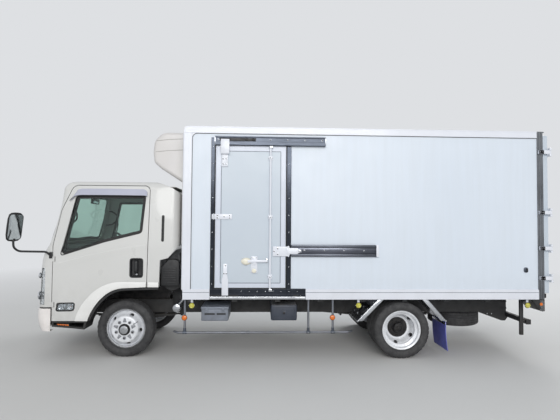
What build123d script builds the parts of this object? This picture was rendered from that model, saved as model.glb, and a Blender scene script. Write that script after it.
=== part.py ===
from build123d import *
import os
from math import cos, pi, sin

# A light refrigerated truck: a cab over the engine that tilts, and an insulated box body with a
# sliding door on its left side, two doors behind and a cooling unit over the cab.
# Millimetres. +X rearward, +Y to the truck's right, +Z up, the ground at z = 0, and the origin
# under the middle of the whole truck. Lengths along the truck are given from the front axle.

# Layout
front_axle_x = -1990.0
wheelbase = 3345.0
running_clearance = 0.1
panel_gap = 8.0

# Wheels: 205/60 R17.5 on five-hole disc wheels, single in front and twin behind
tyre_radius = 338.0
tyre_width = 205.0
bead_radius = 222.0
rim_width = 140.0
disc_offset = 115.0
disc_thickness = 9.0
hand_holes = 5
front_track = 1395.0
dual_spacing = 240.0
rear_outer_track = 1655.0
spindle_radius = 30.0
kingpin_y = 590.0

# Ladder frame
rail_outer_y = 350.0
rail_bottom = 450.0
rail_depth = 170.0
rail_flange = 60.0
rail_wall = 6.0
rail_front = -860.0
rail_rear = 4960.0
rail_top = rail_bottom + rail_depth
sill_height = 62.0
member_places = [-830.0, 1100.0, 1900.0, 2700.0, 3900.0, 4900.0]
member_width = 70.0
# The tilt bracket's ears, inside and outside the cab's own: y from, y to
tilt_ears = [(300.0, 325.0), (351.0, 376.0)]
bearer_count = 9
bearer_width = 60.0
bearer_inset = 45.0
leaf_count = 4
leaf_thickness = 12.5
leaf_rise = 18.0

# Cab: heights and half widths
cab_half_width = 848.0
cab_wall = 45.0
door_thickness = 60.0
cab_rear = 632.0
cab_bottom = 448.0
front_panel_bottom = 612.0
floor_low = 760.0
floor_high = 990.0
floor_thickness = 40.0
belt_z = 1347.0
glass_top_z = 2030.0
roof_z = 2122.0
tilt_x = -835.0
tilt_z = 720.0
tilt_pin_radius = 12.0

# Cab doors: the hinge pins, and the recesses for the handle and the side lamp
hinge_x = -836.0
hinge_y = 838.0
hinge_heights = [640.0, 1180.0]
hinge_pin = 5.0
# Each recess: x from, x to, height from, height to, depth
door_recesses = [
    (59.0, 214.0, 964.0, 1192.0, 34.0),
    (-797.0, -588.0, 566.0, 662.0, 24.0),
]

# Inside the cab and on its doors
seat_y = 400.0
seat_width = 520.0
wheel_centre = Vector(-418, 380, 1296)
wheel_axis = Vector(210, 0, 110).normalized()
wheel_ring = 190.0
wheel_hub = 34.0
mirror_tube = 13.0
mirror_depth = 44.0
mirror_width = 190.0
mirror_seat = 0.4

# Bumper
bumper_half_width = 862.0
bumper_bottom = 330.0
bumper_middle = 461.0
bumper_top = 595.0
bumper_wall = 8.0
bumper_rear = -856.0
bumper_stay_x = -1036.0

# Box body
box_front = 709.0
box_corner = 36.0
box_length = 4390.0
box_half_width = 945.0
box_bottom = 722.0
box_top = 2776.0
side_wall = 75.0
front_wall = 85.0
floor_wall = 100.0
roof_wall = 90.0
rear_frame_depth = 74.0
moulding = 8.0
rear_door_thickness = 55.0
rear_door_gap = 6.0
rear_pin_outboard = 38.0
rear_pin_behind = 15.0
rear_pin_radius = 8.0
rear_hinges = [980.0, 1342.0, 1781.0, 2523.0]
rear_door_bottom = 792.0
rear_door_top = 2735.0
lock_rod_y = 300.0
lock_rod_radius = 13.0

# Mouldings round the box: corner posts in front, a rail above and a deeper one below
post_front = 20.0
post_rear = 797.0
lower_rail_bottom = 719.0
lower_rail_top = 833.0
lower_rail_proud = 16.0
upper_rail_bottom = 2700.0
rail_lap = 6.0

# Side door
side_door_front = 1078.0
side_door_rear = 1929.0
side_door_bottom = 852.0
side_door_top = 2558.0
side_frame_front = 1027.0
side_frame_rear = 1989.0
side_frame_top = 2650.0
side_frame_plate = 6.0
side_door_gap = 6.0
side_door_proud = 12.0

# Fuel filler, guards, flaps and lamps under the body
filler_x = 1560.0
guard_y = 880.0
guard_z = 315.0
guard_front = 591.0
guard_rear = 2749.0
guard_radius = 13.5
guard_bend = 60.0
guard_posts = [728.0, 2208.0, 2505.0]
mudguard_y = 925.0
mudguard_foot = 454.0
mudguard_ahead = (275.0, 533.0)
mudguard_behind = (295.0, 524.0)
mudflap_bottom = 91.0
bumper_bar_rear = 5010.0
bumper_bar_z = 415.0
bumper_bar_size = 60.0
gusset_front = 4560.0
marker_places = [813.0, 2815.0, 4912.0]
marker_z = 640.0
marker_radius = 34.0
marker_depth = 24.0
spare_x = 4375.0
spare_z = 342.5

# Cooling unit
unit_half_width = 745.0
unit_nose = 285.0
unit_top = 2747.0
unit_edge = 40.0
unit_bottom = 2130.0
unit_slots = 6
unit_slot_height = 20.0
unit_slot_pitch = 34.0
unit_slot_depth = 45.0
cover_half_width = 860.0
cover_bottom = 1367.0
cover_depth = 39.0

rear_axle_x = wheelbase
box_rear = box_front + box_length
walls_rear = box_rear - rear_frame_depth
inner_half_width = box_half_width - side_wall
floor_top = box_bottom + floor_wall
roof_under = box_top - roof_wall
front_wheel_y = front_track / 2
rear_outer_y = rear_outer_track / 2
rear_inner_y = rear_outer_y - dual_spacing
rear_hub_y = rear_outer_y - disc_offset
opening_reach = cab_half_width - door_thickness - panel_gap
door_face = box_half_width + side_door_proud
frame_face = box_half_width + side_frame_plate
rear_pin_x = box_rear + rear_door_gap + rear_door_thickness + rear_pin_behind
rear_pin_y = box_half_width + rear_pin_outboard
shaft_front = (1078.0, 0.0, 560.0)
shaft_rear = (rear_axle_x - 120.0, 0.0, 358.0)
shaft_radius = 45.0
banjo_radius = 165.0
upper_rail_top = box_top + rail_lap
panel_seam = 0.3
pillar_x = 0.0
roof_seam_z = 2020.0
back_seam_x = 545.0
deck_front = -336.0


def fx(x):
    """A place along the truck, measured rearward from the front axle."""
    return front_axle_x + x


def block(x0, x1, y0, y1, z0, z1):
    """A box between two corners; x is measured from the front axle."""
    size = (x1 - x0, y1 - y0, z1 - z0)
    return Pos(fx((x0 + x1) / 2), (y0 + y1) / 2, (z0 + z1) / 2) * Box(*size)


def outline(start, *steps):
    """A closed face: each step is a line's end point, or an arc's middle and end points."""
    edges = []
    here = start
    for step in steps:
        if isinstance(step[0], tuple):
            edges.append(ThreePointArc(here, step[0], step[1]))
            here = step[1]
        else:
            edges.append(Line(here, step))
            here = step
    edges.append(Line(here, start))
    return make_face(edges)


def along_y(face, y0, y1):
    """A prism across the truck from a face drawn in x from the front axle and z."""
    plane = Plane(origin=(fx(0), y0, 0), x_dir=(1, 0, 0), z_dir=(0, -1, 0))
    return extrude(plane * face, amount=-(y1 - y0))


def along_x(face, x0, x1):
    """A prism along the truck from a face drawn in y and z."""
    plane = Plane(origin=(fx(x0), 0, 0), x_dir=(0, 1, 0), z_dir=(1, 0, 0))
    return extrude(plane * face, amount=x1 - x0)


def along_z(face, z0, z1):
    """An upright prism from a face drawn in x from the front axle and y."""
    return extrude(Pos(fx(0), 0, z0) * face, amount=z1 - z0)


def bar(start, end, radius):
    """A round bar between two points, with x from the front axle."""
    a = Vector(fx(start[0]), start[1], start[2])
    b = Vector(fx(end[0]), end[1], end[2])
    plane = Plane(origin=a, z_dir=(b - a).normalized())
    return plane * Cylinder(radius, (b - a).length, align=(Align.CENTER, Align.CENTER, Align.MIN))


def rounded_rectangle(x0, x1, y0, y1, radius):
    """A flat rectangle between two corners, its own corners rounded."""
    return Pos((x0 + x1) / 2, (y0 + y1) / 2) * RectangleRounded(x1 - x0, y1 - y0, radius)


def both_sides(piece):
    """The piece and its mirror image across the truck's middle."""
    return [piece, mirror(piece, about=Plane.XZ)]


def fused(pieces):
    """One shape from pieces that touch."""
    shape = pieces[0]
    for piece in pieces[1:]:
        shape += piece
    return shape


def save(name, *pieces):
    """Write one node: a fused solid, or several solids that don't touch."""
    solids = [solid for piece in pieces for solid in piece.solids()]
    shape = solids[0] if len(solids) == 1 else Compound(solids)
    export_step(shape, f"parts/{name}.step")


# Wheels, drawn with the axle along y and the disc's dish towards +y

def rim_profile():
    """The rim's barrel and its dished disc, as radius and y."""
    half = rim_width / 2
    wall = 7.0
    seat = bead_radius
    well = bead_radius - 34
    barrel = outline(
        (seat + 12, half), (seat + 12, half - wall), (seat, half - wall - 4), (seat - 2, 22),
        (well, 12), (well, -12), (seat - 2, -22), (seat, -half + wall + 4),
        (seat + 12, -half + wall), (seat + 12, -half), (seat - wall + 2, -half),
        (well - wall, -14), (well - wall, 14), (seat - wall + 2, half))
    nave = disc_offset - disc_thickness
    disc = outline(
        (seat - 9, 30), (seat - 9, 44), ((170, 66), (158, nave)), ((150, disc_offset), (138, disc_offset)),
        (70, disc_offset), (70, nave), (136, nave), ((144, nave - 8), (150, nave - 28)),
        ((162, 50), (well - wall + 1, 30)))
    return barrel + disc


def disc_wheel():
    """A steel disc wheel with a ring of hand holes."""
    wheel = revolve(rim_profile(), Axis.Y)
    hole_ring = 172.0
    for i in range(hand_holes):
        angle = 2 * pi * i / hand_holes
        hole = Pos(hole_ring * cos(angle), 70, hole_ring * sin(angle)) * Rot(90, 0, 0)
        wheel -= hole * Cylinder(21, 120)
    return wheel


def tyre():
    """A hollow tyre whose beads sit on the rim."""
    half = tyre_width / 2
    wall = 12.0
    tread = 16.0
    shoulder = half - 36
    seat = bead_radius
    crown = tyre_radius
    section = outline(
        (seat, 58), (seat + 14, 63), ((seat + 56, half), (crown - 20, half - 16)), (crown, shoulder),
        (crown, -shoulder), (crown - 20, 16 - half), ((seat + 56, -half), (seat + 14, -63)), (seat, -58),
        (seat, -44), (seat + 54, wall - half), (crown - tread, 14 - shoulder),
        (crown - tread, shoulder - 14), (seat + 54, half - wall), (seat, 44))
    return revolve(section, Axis.Y)


def hub(reach, cap_radius, inner):
    """A hub that fills the disc's middle, bored for the spindle from its inner side."""
    bore = spindle_radius + running_clearance
    flange = 70.0
    body = outline(
        (bore, inner), (flange, inner), (flange, disc_offset + 12), (cap_radius, disc_offset + 16),
        (cap_radius, reach - 8), (cap_radius - 10, reach), (0, reach), (0, disc_offset), (bore, disc_offset))
    return revolve(body, Axis.Y)


def turned(piece, side):
    """Dish towards the truck's right for side 1 and towards its left for side -1."""
    return piece if side > 0 else Rot(0, 0, 180) * piece


def front_wheel(side):
    """The rim with its hub, and the tyre, on the front axle."""
    place = Pos(fx(0), side * front_wheel_y, tyre_radius)
    rim = disc_wheel() + hub(disc_offset + 36, 55, 40)
    return place * turned(rim, side), place * turned(tyre(), side)


def rear_wheels(side):
    """Twin wheels, disc to disc, on one hub."""
    wheel = disc_wheel()
    outer = Pos(fx(rear_axle_x), side * rear_outer_y, tyre_radius)
    inner = Pos(fx(rear_axle_x), side * rear_inner_y, tyre_radius)
    bore = spindle_radius + running_clearance
    hub_body = outline((bore, -130), (70, -130), (70, 26), (58, 30), (58, 62), (0, 62), (0, 20), (bore, 20))
    hub_place = Pos(fx(rear_axle_x), side * rear_hub_y, tyre_radius)
    rims = outer * turned(wheel, -side) + inner * turned(wheel, side)
    rims += hub_place * turned(revolve(hub_body, Axis.Y), side)
    tyres = [outer * tyre(), inner * tyre()]
    return rims, tyres


def knuckle(side):
    """The steered knuckle: kingpin boss, spindle, brake drum and steering arm."""
    y = front_wheel_y
    z = tyre_radius
    pin_y = side * kingpin_y
    spindle = bar((0, pin_y, z), (0, side * (y + disc_offset - 4), z), spindle_radius)
    drum = bar((0, side * (kingpin_y + 34), z), (0, side * (y + 30), z), 130)
    boss = bar((0, pin_y, z - 80), (0, pin_y, z + 80), 34)
    arm_inner = side * (kingpin_y - 30)
    arm_outer = side * (kingpin_y + 10)
    arm = block(0, 170, min(arm_inner, arm_outer), max(arm_inner, arm_outer), z - 76, z - 50)
    return spindle + drum + boss + arm


# Cab

# Each level: height, half width, front at the middle, bow back to the corner, corner radius
lower_levels = [
    (cab_bottom - 30, cab_half_width, -1062.0, 60.0, 110.0),
    (750.0, cab_half_width, -1071.0, 60.0, 110.0),
    (1050.0, cab_half_width, -1062.0, 60.0, 110.0),
    (1230.0, cab_half_width, -1033.0, 60.0, 100.0),
    (belt_z, cab_half_width - 2, -969.0, 60.0, 80.0),
]
screen_levels = [
    (belt_z, cab_half_width - 2, -969.0, 60.0, 80.0),
    (1700.0, cab_half_width - 22, -869.0, 60.0, 64.0),
    (glass_top_z, cab_half_width - 44, -820.0, 60.0, 60.0),
]
roof_levels = [
    (glass_top_z, cab_half_width - 44, -820.0, 60.0, 60.0),
    (2088.0, cab_half_width - 62, -785.0, 60.0, 60.0),
    (roof_z, cab_half_width - 120, -700.0, 60.0, 60.0),
]
bumper_levels = [
    (bumper_bottom, bumper_half_width, -1046.0, 60.0, 124.0),
    (bumper_middle, bumper_half_width, -1086.0, 60.0, 124.0),
    (bumper_top, bumper_half_width, -1083.0, 60.0, 124.0),
]
rear_corner = 100.0
least_corner = 10.0


def plan_section(level, inset, drop, rear):
    """One horizontal section, drawn in by the inset, with a bowed front and rounded corners."""
    z, half, front, bow, corner = level
    whole_bow = (half ** 2 + bow ** 2) / (2 * bow)
    bow_x = fx(front) + whole_bow
    bow_radius = whole_bow - inset
    w = half - inset
    r = max(corner - inset, least_corner)
    corner_y = w - r
    corner_x = bow_x - ((bow_radius - r) ** 2 - corner_y ** 2) ** 0.5
    lean = Vector(corner_x - bow_x, -corner_y, 0).normalized()
    middle = (lean + Vector(0, -1, 0)).normalized()
    front_end = Vector(bow_x, 0, 0) + lean * bow_radius
    corner_middle = Vector(corner_x, -corner_y, 0) + middle * r
    rear_r = max(rear_corner - inset, least_corner)
    rear_x = fx(rear - inset) - rear_r
    rear_y = w - rear_r
    slant = rear_r * sin(pi / 4)

    def flipped(point):
        """The same point on the other side."""
        return Vector(point.X, -point.Y, 0)

    side_front = Vector(corner_x, -w, 0)
    side_rear = Vector(rear_x, -w, 0)
    rear_middle = Vector(rear_x + slant, -rear_y - slant, 0)
    rear_end = Vector(rear_x + rear_r, -rear_y, 0)
    edges = [
        Line(side_rear, side_front), ThreePointArc(side_front, corner_middle, front_end),
        ThreePointArc(front_end, (fx(front) + inset, 0, 0), flipped(front_end)),
        ThreePointArc(flipped(front_end), flipped(corner_middle), flipped(side_front)),
        Line(flipped(side_front), flipped(side_rear)),
        ThreePointArc(flipped(side_rear), flipped(rear_middle), flipped(rear_end)),
        Line(flipped(rear_end), rear_end), ThreePointArc(rear_end, rear_middle, side_rear)]
    return Pos(0, 0, z - drop) * make_face(edges)


def lofted(levels, inset, drop=0.0, rear=cab_rear):
    """A solid through the sections of a table of levels."""
    return loft([plan_section(level, inset, drop, rear) for level in levels])


def cab_form(inset):
    """The whole cab's solid form, drawn in by the inset."""
    form = lofted(lower_levels, inset) + lofted(screen_levels, inset)
    drop = inset if inset < cab_wall else cab_wall
    head = lofted(roof_levels, inset, drop)
    return form + head


def arch_steps():
    """The wheel arch's edge, from the front foot up and back to the quarter panel."""
    return [((-329, 645), (-227, 753)), ((-120, 815), (3, 838)), (257, 849)]


def side_silhouette():
    """The cab's outline from the side: arch, notched rear and sloping roof."""
    return outline(
        (-1200, front_panel_bottom), (-853, front_panel_bottom), (-853, cab_bottom), (-427, cab_bottom),
        *arch_steps(), (405, 849), (413, 1172), (507, 1198), (634, 1345), (660, 1345), (660, 1950),
        (625, 1982), ((560, 2036), (485, 2070)), ((410, 2102), (334, 2122)), (334, 2200), (-1200, 2200))


def door_outline():
    """The door's outline, whose foot follows the wheel arch."""
    return outline(
        (-846, cab_bottom), (-427, cab_bottom), *arch_steps(), (272, 2001), ((256, 2048), (204, 2067)),
        (-560, 2067), ((-628, 2048), (-660, 2001)), (-766, 1760), (-846, 1347))


def window_outline():
    """The door window's edge."""
    face = outline((-756, 1227), (-248, 1394), (187, 1504), (222, 1946), (-594, 1938))
    return fillet(face.vertices(), 28)


def window_glass_outline():
    """The door glass's edge, just inside its window."""
    return offset(window_outline(), amount=-0.2)


def flare():
    """The raised lip along the wheel arch."""
    return outline(
        (-427, cab_bottom), *arch_steps(), (405, 849), (405, 906), (2, 912),
        ((-290, 842), (-454, 690)), ((-530, 575), (-572, cab_bottom)))


def hinge_lug(z):
    """A lug on the pillar that carries the door's pin."""
    y0 = -hinge_y - 7
    lug = block(-864, hinge_x, y0, -hinge_y + 7, z - 30, z + 30)
    lug += bar((hinge_x, -hinge_y, z - 30), (hinge_x, -hinge_y, z + 30), 7)
    return lug + bar((hinge_x, -hinge_y, z - 60), (hinge_x, -hinge_y, z + 60), hinge_pin)


def door_cuts():
    """Notches for the lugs and bores for the pins."""
    cuts = []
    for z in hinge_heights:
        cuts.append(block(-870, hinge_x + 18, -900, -700, z - 31, z + 31))
        bore = hinge_pin + running_clearance
        cuts.append(bar((hinge_x, -hinge_y, z - 61), (hinge_x, -hinge_y, z + 61), bore))
    return cuts


def build_cab():
    """The cab's panels, doors and glass, all cut from one form."""
    outer = cab_form(0)
    side = along_y(side_silhouette(), -1000, 1000)
    body = outer & side
    inner = cab_form(cab_wall)
    left = along_y(door_outline(), -1000, 0)

    skin = body - inner
    door = ((body - cab_form(door_thickness)) & left)
    door += along_y(flare(), -cab_half_width - 14, -cab_half_width + 20) & left
    door -= along_y(window_outline(), -1000, -600)
    door = door - door_cuts()
    for x0, x1, z0, z1, depth in door_recesses:
        door -= along_y(rounded_rectangle(x0, x1, z0, z1, 18), -1000, -cab_half_width + depth)

    flare_piece = along_y(flare(), -cab_half_width - 14, -cab_half_width + 20)
    quarter_flare = flare_piece & block(280, 405, -1000, -700, 700, 1000)
    for piece in both_sides(quarter_flare):
        skin += piece

    grown = offset(door_outline(), amount=panel_gap)
    opening = along_y(grown, -1000, -opening_reach)
    opening += block(-846, 257, -1000, -opening_reach, 300, 700)
    opening += along_y(grown, -1000, -650) & block(-1000, 400, -1000, -600, floor_high + 100, 2200)
    openings = both_sides(opening)

    t = floor_thickness
    floor = along_y(outline(
        (-1040, floor_low), (-305, floor_low), (-280, floor_high), (366, floor_high), (366, 1176),
        (507, 1204), (640, 1356), (600, 1380), (490, 1244), (366 - t, 1212), (366 - t, floor_high + t),
        (-310, floor_high + t), (-335, floor_low + t), (-1040, floor_low + t)), -820, 820)
    floor = floor & cab_form(cab_wall)
    well = block(-845, -440, -opening_reach, -560, 444, floor_low + 5)
    well_hollow = block(-825, -460, -opening_reach - 5, -580, 474, floor_low + 100)
    for solid, hollow in zip(both_sides(well), both_sides(well_hollow)):
        floor = floor + solid - hollow
    for hole in openings:
        floor -= hole
        skin -= hole
    ears = [block(tilt_x - 25, tilt_x + 25, 326, 350, tilt_z, floor_low + 2),
            bar((tilt_x, 326, tilt_z), (tilt_x, 350, tilt_z), 25)]
    for ear in ears:
        for piece in both_sides(ear):
            floor += piece
    tilt_bore = tilt_pin_radius + running_clearance
    for hole in both_sides(bar((tilt_x, 300, tilt_z), (tilt_x, 380, tilt_z), tilt_bore)):
        floor -= hole

    screen_corners = [(-760, 1372), (760, 1372), (722, 2004), (-722, 2004)]
    screen_face = make_face(Polyline(*screen_corners, close=True))
    screen_hole = along_x(fillet(screen_face.vertices(), 60), -1100, -640)
    skin -= screen_hole
    rear_window = along_x(rounded_rectangle(-520, 520, 1480, 1860, 50), 500, 700)
    skin -= rear_window
    glass_layer = cab_form(6) - cab_form(13)
    windscreen = glass_layer & screen_hole
    rear_glass = glass_layer & rear_window
    door_glass = (cab_form(16) - cab_form(21)) & along_y(window_glass_outline(), -1000, -600)

    front = skin & block(-1200, -700, -1000, 1000, 400, belt_z)
    for z in hinge_heights:
        for lug in both_sides(hinge_lug(z)):
            front += lug
    pillars = skin & block(-1200, pillar_x - panel_seam, -1000, 1000, belt_z, roof_seam_z - panel_seam)
    roof = skin & block(-1200, 800, -1000, 1000, roof_seam_z, 2300)
    quarters = skin & block(pillar_x, back_seam_x - panel_seam, -1000, 1000, 400, roof_seam_z - panel_seam)
    back = skin & block(back_seam_x, 800, -1000, 1000, 400, roof_seam_z - panel_seam)
    for vent in both_sides(block(431, 453, -1000, -cab_half_width + 18, 1400, 1710)):
        quarters -= vent
    deck_side = block(deck_front, 800, -1000, 1000, 400, 1500)
    deck = floor & deck_side
    floor -= block(deck_front - panel_seam, 800, -1000, 1000, 400, 1500)
    top = [pillars, roof]
    rear = [quarters, back]
    return front, top, rear, [floor, deck], windscreen, rear_glass, door, door_glass


def grille_cuts():
    """Slots through the front panel for cooling air."""
    return [along_x(rounded_rectangle(-430, 430, z, z + 34, 16), -1150, -980) for z in (866, 922, 978)]


def headlamp_outline():
    """The headlamp's edge on the cab's front, in y and z."""
    return outline((-900, 640), (-560, 652), (-545, 800), ((-640, 880), (-740, 930)), (-790, 1070),
                   (-900, 1070))


def headlamp_space(margin):
    """The block that the headlamp takes out of the cab's corner, grown by a margin."""
    face = headlamp_outline() if margin == 0 else offset(headlamp_outline(), amount=margin)
    return along_x(face, -1150, -935)


def seat(y):
    """A simple closed seat: base, cushion, back and headrest."""
    y0 = y - seat_width / 2
    y1 = y + seat_width / 2
    base_bottom = floor_high + floor_thickness
    base_top = base_bottom + 90
    cushion_top = 1240.0
    back_top = 1770.0
    head_half = 130.0
    base = block(-240, 240, y0 + 30, y1 - 30, base_bottom, base_top)
    cushion = fillet(block(-290, 250, y0, y1, base_top + panel_seam, cushion_top).edges(), 28)
    back_bottom = cushion_top + panel_seam
    back_face = outline((170, back_bottom), (290, back_bottom), (400, back_top), (310, back_top))
    back = along_y(fillet(back_face.vertices(), 26), y0, y1)
    head_bottom = back_top + panel_seam
    head_face = outline((318, head_bottom), (412, head_bottom), (436, 1950), (362, 1955))
    head = along_y(fillet(head_face.vertices(), 22), y - head_half, y + head_half)
    return [cushion, back, head, base]


def dashboard():
    """The dashboard, cut to the cab's inner form, and the steering column."""
    foot = floor_low + floor_thickness + 1
    face = outline((-930, foot), (-900, foot), (-760, 1080), (-560, 1200), ((-540, 1270), (-600, 1310)),
                   (-880, 1330), (-960, 1200))
    board = along_y(face, -770, 770) & cab_form(cab_wall + 1)
    column_end = wheel_centre - wheel_axis * (wheel_hub / 2 + panel_seam)
    column_start = wheel_centre - wheel_axis * 260
    return board + bar(tuple(column_start), tuple(column_end), 26)


def steering_wheel():
    """A three-spoke steering wheel, square to its column."""
    plane = Plane(origin=Vector(fx(0), 0, 0) + wheel_centre, z_dir=wheel_axis)
    parts = [plane * Torus(wheel_ring, 15), plane * Cylinder(48, wheel_hub)]
    for angle in (0, 180, 270):
        parts.append(plane * Rot(0, 0, angle) * Pos(wheel_ring / 2 + 5, 0, 0) * Box(wheel_ring, 34, 14))
    return fused(parts)


def mirror_head(height):
    """A mirror housing with round corners and a domed front, drawn round its own middle."""
    face = Plane.YZ * RectangleRounded(mirror_width, height, 60)
    head = extrude(face, amount=mirror_depth / 2, both=True)
    front_edges = head.edges().group_by(Axis.X)[0]
    return fillet(front_edges, 18)


def left_mirror():
    """The tall mirror on its tube in front of the left pillar."""
    head = Pos(fx(-1166), -1095, 1563) * Rot(0, 8, -24) * mirror_head(320)
    start = (-867, -867, 1227)
    bend = (-1158, -1030, 1283)
    up = (-1184, -1080, 1410)
    arm = bar(start, bend, mirror_tube) + bar(bend, up, mirror_tube)
    arm += Pos(fx(bend[0]), bend[1], bend[2]) * Sphere(mirror_tube)
    foot = block(-884, -850, start[1] - 1, -cab_half_width - mirror_seat, 1196, 1258)
    return head + arm + foot


def right_mirror():
    """The driver's mirror, carried by two arms on the right door."""
    radius = mirror_tube - 3
    head = Pos(fx(-720), 1085, 1735) * Rot(0, 4, 14) * mirror_head(370)
    upper = bar((-770, 836, 1600), (-728, 1040, 1660), radius)
    lower = bar((-800, 850, 1250), (-726, 1070, 1580), radius)
    upper_pad = block(-786, -754, 824, 842, 1574, 1626)
    lower_pad = block(-816, -784, cab_half_width - 4, 856, 1222, 1278)
    return head + upper + lower + upper_pad + lower_pad


def steps():
    """The black step under each door, with its tread, and the lip inside the wheel arch."""
    face = outline((-843, 380), (-637, 363), (-463, 345), (-437, 444), (-843, 444))
    well = outline((-825, 400), (-640, 384), (-480, 368), (-466, 425), (-825, 425))
    body = along_y(face, -846, -600) - along_y(well, -860, -640)
    foot = cab_bottom + 6
    arch = outline(
        (-421, foot), ((-323, 640), (-222, 747)), ((-117, 808), (3, 831)), (400, 842), (400, 820), (3, 808),
        ((-105, 786), (-205, 730)), ((-302, 628), (-400, foot)))
    lip = along_y(arch, -846, -700) + block(-440, -402, -opening_reach, -700, foot, 540)
    return body, lip


# Running gear

def chassis():
    """Two channel rails, cross members, tilt brackets and bumper stays."""
    y = rail_outer_y
    web = y - rail_wall
    lip = y - rail_flange
    channel = outline(
        (y, rail_bottom), (y, rail_top), (lip, rail_top), (lip, rail_top - rail_wall),
        (web, rail_top - rail_wall), (web, rail_bottom + rail_wall), (lip, rail_bottom + rail_wall),
        (lip, rail_bottom))
    pieces = both_sides(along_x(channel, rail_front, rail_rear))
    for x in member_places:
        low = rail_bottom + 40
        high = rail_top - 20
        member = block(x, x + member_width, -web, web, low, high)
        hollow = block(x + rail_wall, x + member_width + 10, -y, y, low + rail_wall, high - rail_wall)
        pieces.append(member - hollow)
    frame = fused(pieces)
    frame -= bar(shaft_front, shaft_rear, shaft_radius + 22)
    stays = []
    for y0, y1 in tilt_ears:
        ear = outline((-862, rail_top - 60), (-862, tilt_z), ((tilt_x, tilt_z + 26), (-808, tilt_z)),
                      (-790, rail_top - 60))
        stays.append(along_y(ear, y0, y1))
    stays.append(block(-860, -800, lip, y + 26, rail_top - 60, rail_top + 6))
    stays.append(bar((tilt_x, 296, tilt_z), (tilt_x, 380, tilt_z), tilt_pin_radius))
    stays.append(block(bumper_stay_x, rail_front + 40, lip, web, 372, rail_bottom + 20))
    for stay in stays:
        for piece in both_sides(stay):
            frame += piece
    return frame


def sub_frame():
    """Long sills on the rails and cross bearers under the box floor."""
    sill_top = rail_top + sill_height
    reach = box_half_width - bearer_inset
    first = box_front + 60
    pitch = (walls_rear - box_front - 180) / (bearer_count - 1)
    sill = block(box_front + 20, walls_rear, rail_outer_y - rail_flange, rail_outer_y, rail_top, sill_top)
    pieces = both_sides(sill)
    for i in range(bearer_count):
        x = first + i * pitch
        pieces.append(block(x, x + bearer_width, -reach, reach, sill_top, box_bottom))
    return fused(pieces)


def leaf_spring(x, length, y, seat_z, width):
    """A stack of arched leaves with hanger brackets to the rail."""
    y0 = y - width / 2
    y1 = y + width / 2
    pieces = []
    for i in range(leaf_count):
        share = 1 - 0.2 * i
        reach = length / 2 * share
        low = seat_z + leaf_thickness * (leaf_count - 1 - i)
        end = low + leaf_rise * share ** 2
        high = low + leaf_thickness
        leaf = outline((x - reach, end), ((x, low), (x + reach, end)), (x + reach, end + leaf_thickness),
                       ((x, high), (x - reach, end + leaf_thickness)))
        pieces.append(along_y(leaf, y0, y1))
    for end in (x - length / 2, x + length / 2):
        pieces.append(block(end - 30, end + 30, y0, y1, seat_z + leaf_thickness * leaf_count, rail_bottom))
    return fused(pieces)


def front_axle():
    """The axle beam between the knuckles, and its springs."""
    reach = kingpin_y - 34.3
    beam = block(-38, 38, -reach, reach, tyre_radius - 36, tyre_radius + 30)
    for side in (-1, 1):
        beam += leaf_spring(0, 1200, side * (rail_outer_y - 30), tyre_radius + 30, 60)
    return beam


def rear_axle():
    """The banjo axle with its springs and brake drums, and the propeller shaft."""
    reach = rear_hub_y + 16
    z = tyre_radius
    x = rear_axle_x
    axle = bar((x, -470, z), (x, 470, z), 62) + bar((x, -reach, z), (x, reach, z), spindle_radius)
    axle += Pos(fx(x), 0, z) * Sphere(banjo_radius)
    for side in (-1, 1):
        axle += leaf_spring(x, 1300, side * (rail_outer_y - 30), z + 38, 60)
        axle += bar((x, side * 380, z), (x, side * 456, z), 140)
    shaft = bar(shaft_front, shaft_rear, shaft_radius) - Pos(fx(x), 0, z) * Sphere(banjo_radius + panel_seam)
    return axle, shaft


def engine():
    """The engine and gearbox as one plain block on the frame."""
    body = chamfer(block(-260, 420, -250, 250, 410, 960).edges().filter_by(Axis.X), 60)
    gearbox = block(420, 1070, -150, 150, 420, 650)
    reach = rail_outer_y - rail_wall
    front_mount = block(-120, -40, -reach, reach, 500, 560)
    rear_mount = block(800, 880, -reach, reach, 500, 560)
    return body + gearbox + front_mount + rear_mount


def fuel_tank():
    """The tank on the right rail with its two straps, filler neck and cap."""
    x0, x1, y0, y1, z0, z1 = 1250, 2050, 400, 780, 360, 640
    tank = fillet(block(x0, x1, y0, y1, z0, z1).edges(), 50)
    for x in (1400, 1860):
        strap = block(x, x + 40, rail_outer_y, y1 + 4, z0 - 6, z1 + 6)
        tank += strap - block(x - 10, x + 50, y0 + 2, y1 - 2, z0 + 2, z1 - 2)
    neck = bar((filler_x, y1 - 50, 590), (filler_x, y1 + 30, 670), 26)
    cap = bar((filler_x, y1 + 28, 668), (filler_x, y1 + 48, 688), 34)
    return tank + neck + cap


def exhaust():
    """The silencer under the right rail, its tail pipe and its two hangers."""
    y, z, radius = 560, 480, 105
    silencer = bar((2180, y, z), (2720, y, z), radius)
    tail = bar((2700, y, z - 40), (2765, y, z - 50), 28)
    hangers = [block(x, x + 40, rail_outer_y, y, z + 80, z + 120) for x in (2280, 2580)]
    return silencer + tail + hangers[0] + hangers[1]


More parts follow.
